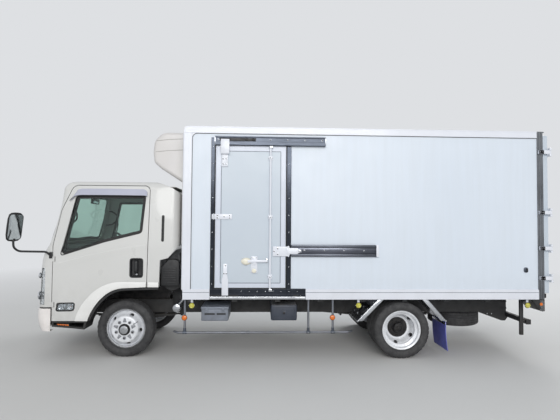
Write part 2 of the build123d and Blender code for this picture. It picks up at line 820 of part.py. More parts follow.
def side_cases():
    """The battery case, the dark tool case and the air cleaner behind the cab, all on the left rail."""
    battery = fillet(block(921, 1245, -880, -480, 450, 617).edges().filter_by(Axis.Y), 12)
    battery -= block(960, 1090, -900, -870, 480, 500) + block(1110, 1210, -900, -870, 480, 500)
    battery += block(960, 1200, -480, -rail_outer_y, 520, 580)
    tool = fillet(block(1756, 2072, -880, -470, 452, 642).edges().filter_by(Axis.Y), 20)
    tool += block(1800, 2030, -470, -rail_outer_y, 520, 590)
    cleaner = bar((540, -720, 900), (540, -380, 900), 120)
    cleaner += block(480, 600, -rail_outer_y - 30, -rail_outer_y, 560, 900)
    cleaner += block(500, 580, -700, -620, 900, 1170)
    cleaner += bar((603, -760, 578), (603, -rail_outer_y, 578), 48)
    return battery, tool, cleaner


def side_guards():
    """The long tube along each side, its ends turned in, with its hanging posts."""
    y = guard_y
    z = guard_z
    r = guard_radius
    tube = bar((guard_front + guard_bend, -y, z), (guard_rear - guard_bend, -y, z), r)
    for end, bend in ((guard_front, guard_bend), (guard_rear, -guard_bend)):
        corner = (end + bend, -y, z)
        tube += bar((end, -y + guard_bend, z), corner, r)
        tube += Pos(fx(corner[0]), -y, z) * Sphere(r)
    for x in guard_posts:
        tube += bar((x, -y, z), (x, -y, box_bottom), r)
    return both_sides(tube)


def bumper():
    """A hollow, bowed bumper that the front panel can dip behind."""
    rear = bumper_rear + rear_corner + 200
    outer = lofted(bumper_levels, 0, rear=rear)
    inner = lofted(bumper_levels, bumper_wall, rear=rear)
    floor_cut = block(-1200, 400, -2000, 2000, bumper_bottom - 50, bumper_bottom + bumper_wall)
    shell = outer - (inner - floor_cut)
    shell = shell & block(-1200, bumper_rear, -1000, 1000, bumper_bottom, bumper_top)
    reach = bumper_half_width - 70
    shell -= block(-980, 0, -reach, reach, bumper_bottom - 30, bumper_bottom + 20)
    shell -= along_x(rounded_rectangle(-250, 250, 380, 450, 24), -1150, -1000)
    for pad in both_sides(block(-1200, bumper_stay_x, 290, 344, 380, 440)):
        shell += pad & outer
    return shell


def mudguards():
    """Bright strips before and behind each pair of rear wheels, their feet rolled under."""
    thickness = 12.0
    roll = 10.0
    pieces = []
    for sign, (top, foot) in ((-1, mudguard_ahead), (1, mudguard_behind)):
        xa = rear_axle_x + sign * top
        xb = rear_axle_x + sign * foot
        lap = sign * thickness
        face = outline((xa, box_bottom), (xb, mudguard_foot), (xb + lap, mudguard_foot),
                       (xa + lap, box_bottom))
        strip = along_y(face, -mudguard_y, -470)
        strip += bar((xb + lap, -mudguard_y, mudguard_foot), (xb + lap, -470, mudguard_foot), roll)
        pieces.extend(both_sides(strip))
    return pieces


def mudflaps():
    """A flap that hangs from each rear strip and curves back towards its foot."""
    top = mudguard_foot - 10.3
    x = rear_axle_x + mudguard_behind[1] + 6
    foot = mudflap_bottom
    face = outline((x, top), ((x + 4, 250), (x + 24, foot)), (x + 32, foot), ((x + 12, 250), (x + 8, top)))
    return both_sides(along_y(face, -mudguard_y, -520))


def rear_guard():
    """The under-run bar on its gusset plates."""
    half = bumper_bar_size / 2
    front = bumper_bar_rear - bumper_bar_size
    low = bumper_bar_z - half
    high = bumper_bar_z + half
    beam = fillet(block(front, bumper_bar_rear, -820, 820, low, high).edges().filter_by(Axis.Y), 12)
    gusset = outline((gusset_front, rail_bottom), (front - 50, low - 55), (bumper_bar_rear, low),
                     (bumper_bar_rear, rail_bottom))
    for plate in both_sides(along_y(gusset, rail_outer_y - 44, rail_outer_y - 6)):
        beam += plate
    return beam


def spare_wheel():
    """The spare wheel, dish down under the rear overhang, and the carrier that lifts it."""
    place = Pos(fx(spare_x), 0, spare_z) * Rot(-90, 0, 0)
    nave = spare_z - disc_offset
    top = rail_bottom
    reach = rail_outer_y - 2
    carrier = block(spare_x - 40, spare_x + 40, -reach, reach, top - 4, top)
    carrier += bar((spare_x, 0, nave - 8), (spare_x, 0, top), 14)
    carrier += bar((spare_x, 0, nave - 9), (spare_x, 0, nave - panel_seam), 90)
    return place * tyre(), place * disc_wheel(), carrier


def lamps():
    """Wedge-shaped tail lamps below the box, and round marker lamps along each side."""
    pieces = []
    wedge = outline((4985, box_bottom), (5141, box_bottom), (5141, 572), ((5130, 560), (5104, 557)),
                    (4985, 690))
    pieces.extend(both_sides(along_y(wedge, -900, -560)))
    y = box_half_width - 40
    for x in marker_places:
        body = bar((x, -y, marker_z), (x, -y - marker_depth, marker_z), marker_radius)
        body = fillet(body.edges().group_by(Axis.Y)[0], marker_depth / 2)
        hanger = block(x - 14, x + 14, -y - 10, -y, marker_z, box_bottom)
        pieces.extend(both_sides(body + hanger))
    return pieces


# Box body

def left_opening():
    """Where the side door's liner goes through the left wall."""
    liner = 8.0
    return block(side_door_front - liner, side_door_rear + liner, -1200, -800,
                 side_door_bottom - liner, side_door_top + liner)


def side_door_frame():
    """The stainless plate round the doorway, its sill and the liner through the wall."""
    w = box_half_width
    sill_bottom = 754.0
    sill_rear = 2166.0
    ring = block(side_frame_front, side_frame_rear, -frame_face, -w, sill_bottom, side_frame_top)
    sill = block(side_frame_rear, sill_rear, -frame_face, -w, sill_bottom, 847)
    lip = block(side_frame_front, sill_rear, -w - lower_rail_proud, -w, box_bottom - 2, sill_bottom)
    liner = left_opening() & block(1000, 2100, -w, -inner_half_width, 700, 2700)
    hole = block(side_door_front, side_door_rear, -1200, -800, side_door_bottom, side_door_top)
    return (ring + sill + lip + liner) - hole


def side_door():
    """The door's insulated leaf, with a raised border round its face."""
    g = side_door_gap
    leaf = block(side_door_front + g, side_door_rear - g, -door_face, -inner_half_width - 2,
                 side_door_bottom + g, side_door_top - g)
    border = 74.0
    field = block(side_door_front + border, side_door_rear - border + 4, -door_face - 1, -door_face + 2,
                  side_door_bottom + border - 10, side_door_top - border)
    return leaf - field


def side_door_gear():
    """Rails, carriage, brackets, lock rod and handle on the face of the side door."""
    face = -door_face
    plate = -frame_face
    wall = -box_half_width
    top_rail = block(1075, 2395, plate - 46, plate, 2554, 2660)
    top_rail -= block(1070, 2400, plate - 50, plate - 30, 2596, 2647)
    mid_rail = block(1990, 3049, wall - 34, wall - 6, 1230, 1371)
    mid_rail -= block(1980, 3020, wall - 40, wall - 14, 1262, 1338)
    mid_rail += block(2000, 3040, wall - 6, wall, 1240, 1360)
    carriage = block(1771, 1980, face - 20, face, 1233, 1350)
    carriage += block(1960, 2114, face - 30, face - 8, 1270, 1320)
    strap = outline((1132, 2510), (1245, 2510), (1245, 2540), (1132, 2540))
    blade = outline((1150, 2299), (1228, 2299), (1228, 2440), ((1234, 2490), (1245, 2510)), (1132, 2510),
                    ((1146, 2490), (1150, 2440)))
    top_bracket = along_y(strap + blade, face - 14, face)
    mid_bracket = block(1040, 1283, face - 10, face, 1669, 1732)
    mid_bracket += block(1040, 1072, face - 2, plate, 1669, 1732)
    foot = outline((1170, 790), (1246, 790), (1246, 955), ((1236, 990), (1231, 1030)), (1231, 1141),
                   (1185, 1141), (1185, 1030), ((1180, 990), (1170, 955)))
    bottom_bracket = along_y(foot, face - 14, face) + block(1170, 1246, face - 2, plate, 790, 840)
    field = face + 2
    rod = bar((1738, face - 26, 823), (1738, face - 26, 2540), 12)
    for z in (2405, 1699, 990):
        rod += block(1712, 1764, face - 42, field, z - 26, z + 26)
    lever = outline((1440, 1150), (1700, 1166), ((1712, 1178), (1700, 1190)), (1440, 1196))
    handle = bar((1456, field, 1172), (1456, face - 34, 1172), 30) + along_y(lever, face - 34, face - 20)
    handle += block(1510, 1590, face - 12, field, 1034, 1231)
    handle += block(1530, 1570, face - 22, face - 10, 1140, 1200)
    return [top_rail, mid_rail, carriage, top_bracket, mid_bracket, bottom_bracket, rod, handle]


def box_panels():
    """The insulated floor, roof, front wall and side walls; the roof's front edge is rounded."""
    w = box_half_width
    inner = inner_half_width
    inner_front = box_front + front_wall
    floor = block(inner_front, walls_rear, -inner, inner, box_bottom, floor_top)
    roof = block(box_front, walls_rear, -w, w, roof_under, box_top)
    front_edge = roof.edges().filter_by(Axis.Y).group_by(Axis.X)[0].sort_by(Axis.Z)[-1]
    roof = fillet(front_edge, box_corner)
    front = block(box_front, inner_front, -w, w, box_bottom, roof_under)
    left = block(inner_front, walls_rear, -w, -inner, box_bottom, roof_under) - left_opening()
    right = block(inner_front, walls_rear, inner, w, box_bottom, roof_under)
    return floor, roof, front, left, right


def box_rails():
    """The white mouldings: rounded corner posts, the upper rails and the deeper rails below."""
    w = box_half_width
    m = moulding
    front = box_front - post_front
    slant = 1 - cos(pi / 4)
    post_bottom = lower_rail_top + 1
    post_top = upper_rail_bottom - 1
    shell = outline((post_rear, -w), (post_rear, -w - m), (front + 18, -w - m),
                    ((front + 18 * slant, -w - m + 18 * slant), (front, -w - m + 18)), (front, -w + 70),
                    (box_front, -w + 70), (box_front, -w))
    pieces = both_sides(along_z(shell, post_bottom, post_top))
    r = box_corner + m
    top = upper_rail_top
    bend = r * slant
    side_face = outline((box_front - m, upper_rail_bottom), (box_front - m, top - r),
                        ((box_front - m + bend, top - bend), (box_front - m + r, top)),
                        (walls_rear - 1, top), (walls_rear - 1, upper_rail_bottom))
    pieces.extend(both_sides(along_y(side_face, -w - m, -w)))
    reach = w - 1
    middle = box_front + box_corner
    skin = bar((middle, -reach, top - r), (middle, reach, top - r), r)
    bend_z = box_top - box_corner
    skin -= bar((middle, -w, bend_z), (middle, w, bend_z), box_corner + panel_seam)
    pieces.append(skin & block(box_front - m, middle, -reach, reach, unit_top + 1, top))
    # The lower rail stops at the side door's frame on the left: x from, x to, side
    for x0, x1, side in ((box_front, side_frame_front - 1, -1), (2167, walls_rear - 1, -1),
                         (box_front, walls_rear - 1, 1)):
        inner_y = side * w
        outer_y = side * (w + lower_rail_proud)
        y0 = min(inner_y, outer_y)
        y1 = max(inner_y, outer_y)
        pieces.append(block(x0, x1, y0, y1, lower_rail_bottom, lower_rail_top))
    return pieces


def rear_frame():
    """The stainless ring round the rear doorway, with its hinge brackets."""
    w = frame_face
    ring = block(walls_rear, box_rear, -w, w, box_bottom, upper_rail_top)
    doorway = block(walls_rear - 1, box_rear + 1, -inner_half_width, inner_half_width, floor_top, roof_under)
    ring -= doorway
    for z in rear_hinges:
        for lug in both_sides(rear_lug(z)):
            ring += lug
    return ring


def rear_lug(z):
    """A hinge bracket on the frame's side that carries a pin."""
    y = -rear_pin_y
    arm = block(walls_rear + 10, rear_pin_x, y - 8, y + 8, z - 22, z + 22)
    arm += block(walls_rear + 10, box_rear - 8, y - 8, -box_half_width - 6, z - 22, z + 22)
    arm += bar((rear_pin_x, y, z - 22), (rear_pin_x, y, z + 22), rear_pin_radius)
    return arm + bar((rear_pin_x, y, z - 52), (rear_pin_x, y, z + 52), rear_pin_radius - 2)


def rear_door():
    """The left rear door with its hinge eyes, lock rod and handle."""
    x0 = box_rear + rear_door_gap
    x1 = x0 + rear_door_thickness
    y = -rear_pin_y
    leaf = block(x0, x1, -box_half_width, -4, rear_door_bottom, rear_door_top)
    door = fillet(leaf.edges().filter_by(Axis.X), 14)
    bore = rear_pin_radius - 2 + running_clearance
    for z in rear_hinges:
        for z0, z1 in ((z - 50, z - 24), (z + 24, z + 50)):
            eye = bar((rear_pin_x, y, z0), (rear_pin_x, y, z1), 14)
            eye += block(x1 - 1, rear_pin_x + 6, y, -box_half_width + 160, z0, z1)
            door += eye - bar((rear_pin_x, y, z0 - 5), (rear_pin_x, y, z1 + 5), bore)
    rod_x = x1 + 22
    rod_y = -lock_rod_y
    rod = bar((rod_x, rod_y, rear_door_bottom + 10), (rod_x, rod_y, rear_door_top - 6), lock_rod_radius)
    for z in (840, 1200, 1500, 2100, 2660):
        rod += block(x1 - 1, x1 + 40, rod_y - 26, rod_y + 26, z - 22, z + 22)
    lever = outline((rod_y - 20, 1335), (rod_y + 180, 1340), ((rod_y + 190, 1350), (rod_y + 180, 1360)),
                    (rod_y - 20, 1368))
    return door + rod + along_x(lever, x1 + 30, x1 + 44)


def cooling_unit():
    """The rounded housing over the cab with its air slots, and its lower cover on the front wall."""
    # Each corner of the side view from the foot forward and up: x, height, fillet radius
    corners = [
        (640.0, unit_bottom, 30.0), (391.0, 2290.0, 90.0), (unit_nose + 14, 2370.0, 60.0),
        (unit_nose, 2500.0, 200.0), (unit_nose + 14, 2640.0, 120.0), (400.0, unit_top, 160.0)]
    points = [(box_front, unit_bottom), *[(x, z) for x, z, radius in corners], (box_front, unit_top)]
    face = make_face(Polyline(*points, close=True))
    for x, z, radius in corners:
        vertex = face.vertices().sort_by_distance((x, z, 0))[0]
        face = fillet(vertex, radius)
    body = along_y(face, -unit_half_width, unit_half_width)
    wall = fx(box_front)
    end_edges = [edge for edge in body.edges()
                 if abs(abs(edge.center().Y) - unit_half_width) < 0.01 and edge.center().X < wall - 1]
    body = fillet(end_edges, unit_edge)
    first = 2500.0 - unit_slot_pitch * (unit_slots - 1) / 2
    for i in range(unit_slots):
        z = first + i * unit_slot_pitch
        half = unit_slot_height / 2
        slot = rounded_rectangle(70, unit_half_width - 110, z - half, z + half, half - 0.5)
        for piece in both_sides(along_x(slot, unit_nose - 10, unit_nose + unit_slot_depth)):
            body -= piece
    reach = cover_half_width
    cover = block(box_front - cover_depth, box_front, -reach, reach, cover_bottom, unit_bottom + 1)
    return body + cover


def evaporator():
    """The cooler's inner part, high on the front wall inside the box."""
    x0 = box_front + front_wall
    face = outline((x0, 2360), (x0 + 320, 2440), (x0 + 420, roof_under), (x0, roof_under))
    return along_y(face, -620, 620)


def main():
    """Build every node and write its STEP file."""
    os.makedirs("parts", exist_ok=True)

    front, top, rear, floors, windscreen, rear_glass, door, door_glass = build_cab()
    for cut in grille_cuts():
        front -= cut
    for space in both_sides(headlamp_space(3)):
        front -= space
    lamp_left = (cab_form(1) - cab_form(40)) & headlamp_space(0)
    save("cab_front", front)
    save("cab_top", *top)
    save("cab_back", *rear)
    save("cab_floor", *floors)
    save("windscreen", windscreen, rear_glass)
    save("headlamps", *both_sides(lamp_left))
    save("cab_door_left", door)
    save("cab_door_right", mirror(door, about=Plane.XZ))
    save("door_glass_left", door_glass)
    save("door_glass_right", mirror(door_glass, about=Plane.XZ))
    save("dashboard", dashboard())
    save("steering_wheel", steering_wheel())
    save("seats", *seat(-seat_y), *seat(seat_y))
    save("mirror_left", left_mirror())
    save("mirror_right", right_mirror() - mirror(door, about=Plane.XZ))
    step, lip = steps()
    save("cab_steps", *both_sides(step), *both_sides(lip))

    for side, name in ((-1, "left"), (1, "right")):
        rim, rubber = front_wheel(side)
        save(f"front_rim_{name}", rim)
        save(f"front_tyre_{name}", rubber)
        rims, tyres = rear_wheels(side)
        save(f"rear_rims_{name}", rims)
        save(f"rear_tyres_{name}", *tyres)
        save(f"knuckle_{name}", knuckle(side))

    save("chassis_frame", chassis())
    save("sub_frame", sub_frame())
    save("front_axle", front_axle())
    save("rear_axle", *rear_axle())
    save("engine", engine())
    save("fuel_tank", fuel_tank())
    save("exhaust", exhaust())
    save("side_cases", *side_cases())
    save("side_guards", *side_guards())
    save("front_bumper", bumper())
    save("rear_mudguards", *mudguards())
    save("mudflaps", *mudflaps())
    save("rear_guard", rear_guard(), *spare_wheel())
    save("lamps", *lamps())

    box_floor, roof, front_panel, left, right = box_panels()
    save("box_floor", box_floor)
    save("box_roof", roof)
    save("box_front_wall", front_panel)
    save("box_left_wall", left)
    save("box_right_wall", right)
    save("box_rails", *box_rails())
    save("rear_frame", rear_frame())
    save("side_door_frame", side_door_frame())
    save("side_door", side_door())
    save("side_door_gear", *side_door_gear())
    door_piece = rear_door()
    save("rear_door_left", door_piece)
    save("rear_door_right", mirror(door_piece, about=Plane.XZ))
    save("cooling_unit", cooling_unit())
    save("evaporator", evaporator())


main()
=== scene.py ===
import math

import bmesh
import bpy
from mathutils import Matrix, Vector


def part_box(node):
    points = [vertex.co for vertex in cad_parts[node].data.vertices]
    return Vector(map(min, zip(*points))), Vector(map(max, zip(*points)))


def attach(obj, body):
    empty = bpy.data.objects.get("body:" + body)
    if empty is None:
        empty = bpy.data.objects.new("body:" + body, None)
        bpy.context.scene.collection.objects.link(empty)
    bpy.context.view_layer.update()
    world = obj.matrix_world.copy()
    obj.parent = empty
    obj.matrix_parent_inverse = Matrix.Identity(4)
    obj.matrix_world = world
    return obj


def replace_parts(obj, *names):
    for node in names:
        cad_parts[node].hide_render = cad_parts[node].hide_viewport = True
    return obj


# The looks of a light refrigerated truck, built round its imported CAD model.
# Places are written in millimetres: x rearward from the front axle, y to the truck's right and z
# above the ground. The photographed side is the left one, at negative y.

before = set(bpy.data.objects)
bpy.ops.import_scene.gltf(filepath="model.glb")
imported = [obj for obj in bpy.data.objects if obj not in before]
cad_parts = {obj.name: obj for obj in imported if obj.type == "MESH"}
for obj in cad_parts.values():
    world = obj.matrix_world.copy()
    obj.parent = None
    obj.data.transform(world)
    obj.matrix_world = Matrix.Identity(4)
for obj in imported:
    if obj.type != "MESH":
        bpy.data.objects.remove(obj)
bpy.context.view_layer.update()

MM = 0.001
axle_low, axle_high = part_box("front_tyre_left")
rear_low, rear_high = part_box("rear_tyres_left")
AXLE_X = (axle_low.x + axle_high.x) / 2
AXLE_Z = (axle_low.z + axle_high.z) / 2 / MM
REAR_AXLE = ((rear_low.x + rear_high.x) / 2 - AXLE_X) / MM
TYRE_RADIUS = (axle_high.z - axle_low.z) / 2 / MM
FRONT_WHEEL_Y = -(axle_low.y + axle_high.y) / 2 / MM

CAB_SIDE = 848
BOX_SIDE = 945
BOX_FRONT = 709
BOX_REAR = 5099
BOX_TOP = 2776
UNDER_BOX = 721.6
DOOR_FACE = 957
REAR_DOOR_OUT = 5160
REAR_DOOR_IN = 5105
LEFT = -1
RIGHT = 1
ALONG = (1, 0, 0)
AHEAD = (-1, 0, 0)
UP = (0, 0, 1)
DOWN = (0, 0, -1)


def at(x, y, z):
    """A place in metres from millimetres, with x measured from the front axle."""
    return Vector((AXLE_X + x * MM, y * MM, z * MM))


def added(name, data):
    """A new object in the scene."""
    made = bpy.data.objects.new(name, data)
    bpy.context.scene.collection.objects.link(made)
    return made


# Materials

def linear(shade):
    """A colour in Blender's linear values, from screen values of 0 to 255."""
    shares = [value / 255 for value in shade]
    return [s / 12.92 if s <= 0.04045 else ((s + 0.055) / 1.055) ** 2.4 for s in shares] + [1]


def toned(shade, share):
    return [value * share for value in shade]


class Nodes:
    """A node tree that is filled by short calls."""

    def __init__(self, tree):
        self.tree = tree

    def put(self, socket, value):
        """Give an input a value, or another node's output."""
        if isinstance(value, bpy.types.NodeSocket):
            self.tree.links.new(value, socket)
        else:
            socket.default_value = value

    def node(self, kind, inputs, **settings):
        made = self.tree.nodes.new("ShaderNode" + kind)
        for key, value in settings.items():
            setattr(made, key, value)
        for key, value in inputs.items():
            self.put(made.inputs[key], value)
        return made

    def math(self, operation, a, b):
        return self.node("Math", {0: a, 1: b}, operation=operation).outputs[0]

    def seen_rays(self):
        """1 for what the camera, a gloss or clear glass sees, and 0 for the light that falls on things."""
        path = self.node("LightPath", {}).outputs
        share = path["Is Camera Ray"]
        for kind in ("Is Glossy Ray", "Is Transmission Ray"):
            share = self.math("MAXIMUM", share, path[kind])
        return share


class Finish(Nodes):
    """A Principled material whose colour, roughness and bump come from its own nodes."""

    def __init__(self, name, shade, slot=None, metal=0, coat=0, **sockets):
        self.material = bpy.data.materials.new(name)
        self.material.use_nodes = True
        super().__init__(self.material.node_tree)
        self.slot = slot
        self.shader = self.tree.nodes["Principled BSDF"]
        self.place = self.node("TexCoord", {}).outputs["Object"]
        self.colour = linear(shade)
        self.normal = None
        self.set("Base Color", self.colour)
        self.set("Metallic", metal)
        self.set("Coat Weight", coat)
        self.set("Coat Roughness", 0.06)
        for socket, value in sockets.items():
            self.set(socket.replace("_", " "), value)

    def set(self, socket, value):
        self.put(self.shader.inputs[socket], value)
        return self

    def noise(self, scale, detail=4, stretch=None):
        """Noise over the object's own places, stretched by a factor for each axis where one is given."""
        place = self.place
        if stretch:
            place = self.node("Mapping", {"Vector": place, "Scale": stretch}).outputs["Vector"]
        return self.node("TexNoise", {"Scale": scale, "Detail": detail, "Vector": place}).outputs["Fac"]

    def ramp(self, source, low, high, start=0, end=1):
        """The source, remapped from low..high to start..end and clamped."""
        inputs = {"Value": source, "From Min": low, "From Max": high, "To Min": start, "To Max": end}
        return self.node("MapRange", inputs).outputs["Result"]

    def times(self, a, b):
        return self.math("MULTIPLY", a, b)

    def over(self, share, shade):
        """Lay another colour over the base where the share says."""
        inputs = {"Factor": share, 6: self.colour, 7: linear(shade)}
        self.colour = self.node("Mix", inputs, data_type="RGBA").outputs[2]
        return self.set("Base Color", self.colour)

    def mottle(self, scale, shade, share, stretch=None):
        """Soft patches of a second colour."""
        return self.over(self.ramp(self.noise(scale, 4, stretch), 0.35, 0.75, 0, share), shade)

    def rough(self, scale, low, high, stretch=None):
        """Roughness that varies between low and high."""
        return self.set("Roughness", self.ramp(self.noise(scale, 5, stretch), 0.3, 0.7, low, high))

    def bump(self, source, distance, strength=0.5):
        inputs = {"Strength": strength, "Distance": distance, "Height": source}
        if self.normal:
            inputs["Normal"] = self.normal
        self.normal = self.node("Bump", inputs).outputs["Normal"]
        return self.set("Normal", self.normal)

    def grain(self, scale, distance, strength=0.5, stretch=None):
        return self.bump(self.noise(scale, 3, stretch), distance, strength)

    def cells(self, scale, distance, strength, feature="F1"):
        """The relief of small cells."""
        made = self.node("TexVoronoi", {"Scale": scale, "Vector": self.place}, feature=feature)
        return self.bump(made.outputs["Distance"], distance, strength)

    def threads(self, scale, direction, distortion=0):
        inputs = {"Scale": scale, "Distortion": distortion, "Vector": self.place}
        return self.node("TexWave", inputs, wave_type="BANDS", bands_direction=direction).outputs["Fac"]

    def film(self, top, share, shade=(120, 112, 102)):
        """Dried road dirt that thickens from a height in metres towards the ground."""
        height = self.node("SeparateXYZ", {"Vector": self.place}).outputs["Z"]
        low = self.ramp(height, top, 0.25)
        patch = self.ramp(self.noise(9, 8), 0.3, 0.75, 0.15, 1)
        return self.over(self.times(self.times(low, patch), share), shade)

    def dust(self, share):
        """Dust lying on what faces up."""
        normal = self.node("NewGeometry", {}).outputs["Normal"]
        up = self.node("SeparateXYZ", {"Vector": normal}).outputs["Z"]
        patch = self.ramp(self.noise(14, 6), 0.3, 0.7, 0.4, 1)
        return self.over(self.times(self.ramp(up, 0.5, 1, 0, share), patch), (128, 122, 112))


def paint(name, shade):
    """The cab's warm white paint under a clear coat."""
    made = Finish(name, shade, "cab_paint", coat=0.5).mottle(1.3, toned(shade, 0.97), 0.6)
    return made.film(1, 0.3).rough(5, 0.26, 0.38).grain(260, 0.0004, 0.1)


def trim_white(name, shade):
    """White painted aluminium mouldings."""
    made = Finish(name, shade, "white_trim", coat=0.2).mottle(2.2, toned(shade, 0.96), 0.6)
    return made.film(1, 0.25).rough(7, 0.28, 0.42).grain(300, 0.0003, 0.12)


def stainless(name, fine, shade, dull):
    """Brushed stainless sheet: fine streaks along its length and smears of dirt."""
    made = Finish(name, shade, "stainless", metal=1, Anisotropic=0.4).mottle(1.6, toned(shade, 0.6), 0.9)
    made.mottle(9, toned(shade, 1.25), 0.4, fine).rough(8, 0.1 + dull, 0.3 + dull, fine)
    return made.grain(12, 0.0003, 0.2, fine).grain(5, 0.001, 0.15)


def wheel_paint(name, shade):
    """Silver wheel paint with brake dust and road dirt in the dish."""
    made = Finish(name, shade, "wheel_silver", metal=0.15).mottle(9, toned(shade, 0.86), 0.7)
    return made.mottle(40, toned(shade, 0.66), 0.3).rough(18, 0.26, 0.48).grain(600, 0.0003, 0.15)


def tinted_lens(name, shade, deep):
    """Coloured lamp plastic, with the dimples of its optics."""
    made = Finish(name, shade, "lens", coat=0.5).mottle(60, deep, 0.8)
    return made.cells(170, 0.002, 0.35).rough(30, 0.08, 0.22)


def trim_grey(name, shade):
    """Interior mouldings with a leather-like grain."""
    made = Finish(name, shade, "grey_plastic").mottle(6, toned(shade, 0.86), 0.7)
    return made.cells(520, 0.0008, 0.4, "DISTANCE_TO_EDGE").rough(18, 0.48, 0.66)


def seat_cloth():
    """Woven grey seat cloth: two crossed sets of threads and a soft sheen."""
    made = Finish("seat_fabric", (108, 112, 118), "seat_fabric", Sheen_Weight=0.3)
    weave = made.times(made.threads(160, "X", 0.6), made.threads(160, "Z", 0.6))
    made.over(made.ramp(weave, 0, 1, 0, 0.55), (70, 74, 82)).mottle(14, (128, 132, 138), 0.35)
    return made.bump(weave, 0.0012, 0.45).rough(20, 0.78, 0.95)


UPRIGHT_GRAIN = (90, 90, 1.2)
LEVEL_GRAIN = (1.2, 90, 90)

PAINT = paint("cab_paint", (207, 207, 205))
# The wheel-arch lip's paint is a lighter copy of the cab's paint: a painted highlight where light catches
# the lip.
FLARE_HIGHLIGHT = paint("flare_painted_highlight", (233, 233, 231))
# The bumper's paint is a brighter, warmer copy of the cab's: painted sunlight.
LIT_BUMPER = paint("bumper_painted_light", (243, 238, 235))
TRIM = trim_white("white_trim", (222, 225, 233))
LEAF_EDGE = trim_white("door_edge", (204, 210, 222))
# STEEL's very dark shade is painted shade, standing in for the dark reflections of the side doorway's frame;
# REAR_STEEL's lighter shade is painted reflection of a bright sky on the rear frame.
STEEL = stainless("stainless", UPRIGHT_GRAIN, (60, 64, 72), 0)
STEEL_LONG = stainless("stainless_long", LEVEL_GRAIN, (96, 99, 108), 0.1)
RAIL_STEEL = stainless("stainless_rail", LEVEL_GRAIN, (100, 104, 112), 0.15)
PALE_STEEL = stainless("stainless_pale", LEVEL_GRAIN, (104, 110, 121), 0.32)
REAR_STEEL = stainless("stainless_rear", UPRIGHT_GRAIN, (130, 133, 137), 0.1)
WHEEL = wheel_paint("wheel_silver", (238, 240, 244))
# A darker copy of the wheel paint: on the star's fins it is painted shadow, on the front wheel nuts it is
# their own grey.
WHEEL_GREY_AND_SHADOW = wheel_paint("wheel_shade", (150, 152, 157))
AMBER = tinted_lens("lens_amber", (226, 118, 30), (196, 88, 18))
YELLOW = tinted_lens("lens_yellow", (206, 200, 84), (170, 164, 56))
RED = tinted_lens("lens_red", (176, 24, 22), (128, 12, 14))
GREY = trim_grey("grey_plastic", (96, 97, 98))
GREY_DARK = trim_grey("grey_dark", (52, 53, 55))
CLOTH = seat_cloth()

# Dark seat-belt webbing with threads across it
BELT = Finish("belt", (44, 45, 48), "seat_fabric").mottle(20, (62, 63, 66), 0.5)
BELT.bump(BELT.threads(260, "Z"), 0.0008, 0.5).rough(24, 0.62, 0.82)

# The body's pale blue-white sheets, faintly wavy, with dull streaks below the roof rail
PANEL = Finish("box_panel", (212, 220, 230), "box_panel").mottle(0.9, (206, 215, 226), 0.7)
PANEL.mottle(3, (203, 210, 218), 0.4, (6, 6, 0.35)).film(1.05, 0.22).rough(4, 0.3, 0.44)
PANEL.grain(2.2, 0.0016, 0.25).grain(420, 0.0003, 0.1)

# The side and rear doors' skin, a shade darker than the walls
DOOR = Finish("door_panel", (192, 201, 210), "box_panel").mottle(1.1, (186, 196, 207), 0.7)
DOOR.film(1.1, 0.2).rough(4, 0.3, 0.42).grain(2.8, 0.0012, 0.25)

# The cooling unit's moulded white housing
UNIT = Finish("unit_white", (209, 206, 205), "unit_white").mottle(2, (203, 200, 197), 0.6)
UNIT.mottle(6, (198, 195, 188), 0.25, (1, 1, 0.2)).rough(6, 0.3, 0.46)
UNIT.grain(380, 0.0005, 0.18)

# Bright stainless strip with long soft scratches
BRIGHT = Finish("bright_steel", (205, 208, 212), "stainless", metal=1).mottle(7, (150, 152, 158), 0.6)
BRIGHT.film(0.8, 0.18).rough(16, 0.12, 0.35).grain(40, 0.0006, 0.2)

# Black chassis paint with dust where it can lie
BLACK = Finish("frame_black", (30, 31, 33), "frame_black").mottle(7, (46, 46, 47), 0.7).dust(0.55)
BLACK.film(0.7, 0.3, (84, 78, 70)).rough(12, 0.42, 0.7).grain(110, 0.0008, 0.35)

# Grained black moulded plastic
PLASTIC = Finish("black_plastic", (26, 27, 29), "black_plastic").mottle(9, (40, 40, 42), 0.6)
PLASTIC.film(0.9, 0.22, (96, 90, 82)).rough(20, 0.4, 0.6).grain(900, 0.0006, 0.35)

# Tyre rubber, greyed by road dust on the walls
RUBBER = Finish("tyre", (42, 42, 44), "tyre").mottle(8, (68, 68, 69), 0.9)
RUBBER.mottle(36, (88, 87, 86), 0.35).rough(14, 0.62, 0.86).grain(320, 0.001, 0.35)

# Dull black rubber of seals, hoses and mats
SEAL = Finish("seal_rubber", (22, 22, 24), "black_plastic").mottle(30, (48, 47, 45), 0.5)
SEAL.rough(30, 0.45, 0.7).grain(500, 0.0006, 0.3)

# Oily dark steel of nuts and hubs
DARK = Finish("dark_steel", (44, 44, 46), "frame_black", metal=0.7).mottle(26, (74, 70, 66), 0.5)
DARK.rough(22, 0.3, 0.6).grain(300, 0.0006, 0.3)

# Dull zinc-grey tube of the side guards
GUARD = Finish("guard_steel", (132, 136, 144), "frame_black", metal=0.7).mottle(7, (104, 106, 112), 0.7)
GUARD.film(0.6, 0.25).rough(18, 0.3, 0.5).grain(200, 0.0004, 0.2)

# Green-tinted safety glass with a film of dust
GLASS = Finish("glass", (206, 226, 219), "glass", Transmission_Weight=1, IOR=1.45)
GLASS.mottle(1.5, (196, 218, 210), 0.5).rough(5, 0.01, 0.05)

# Clear lamp plastic, ribbed on its inside
LENS = Finish("lens", (232, 236, 238), "lens", Transmission_Weight=0.9).mottle(12, (214, 220, 224), 0.5)
LENS.rough(40, 0.04, 0.12).grain(160, 0.001, 0.3, (1, 1, 0.1))

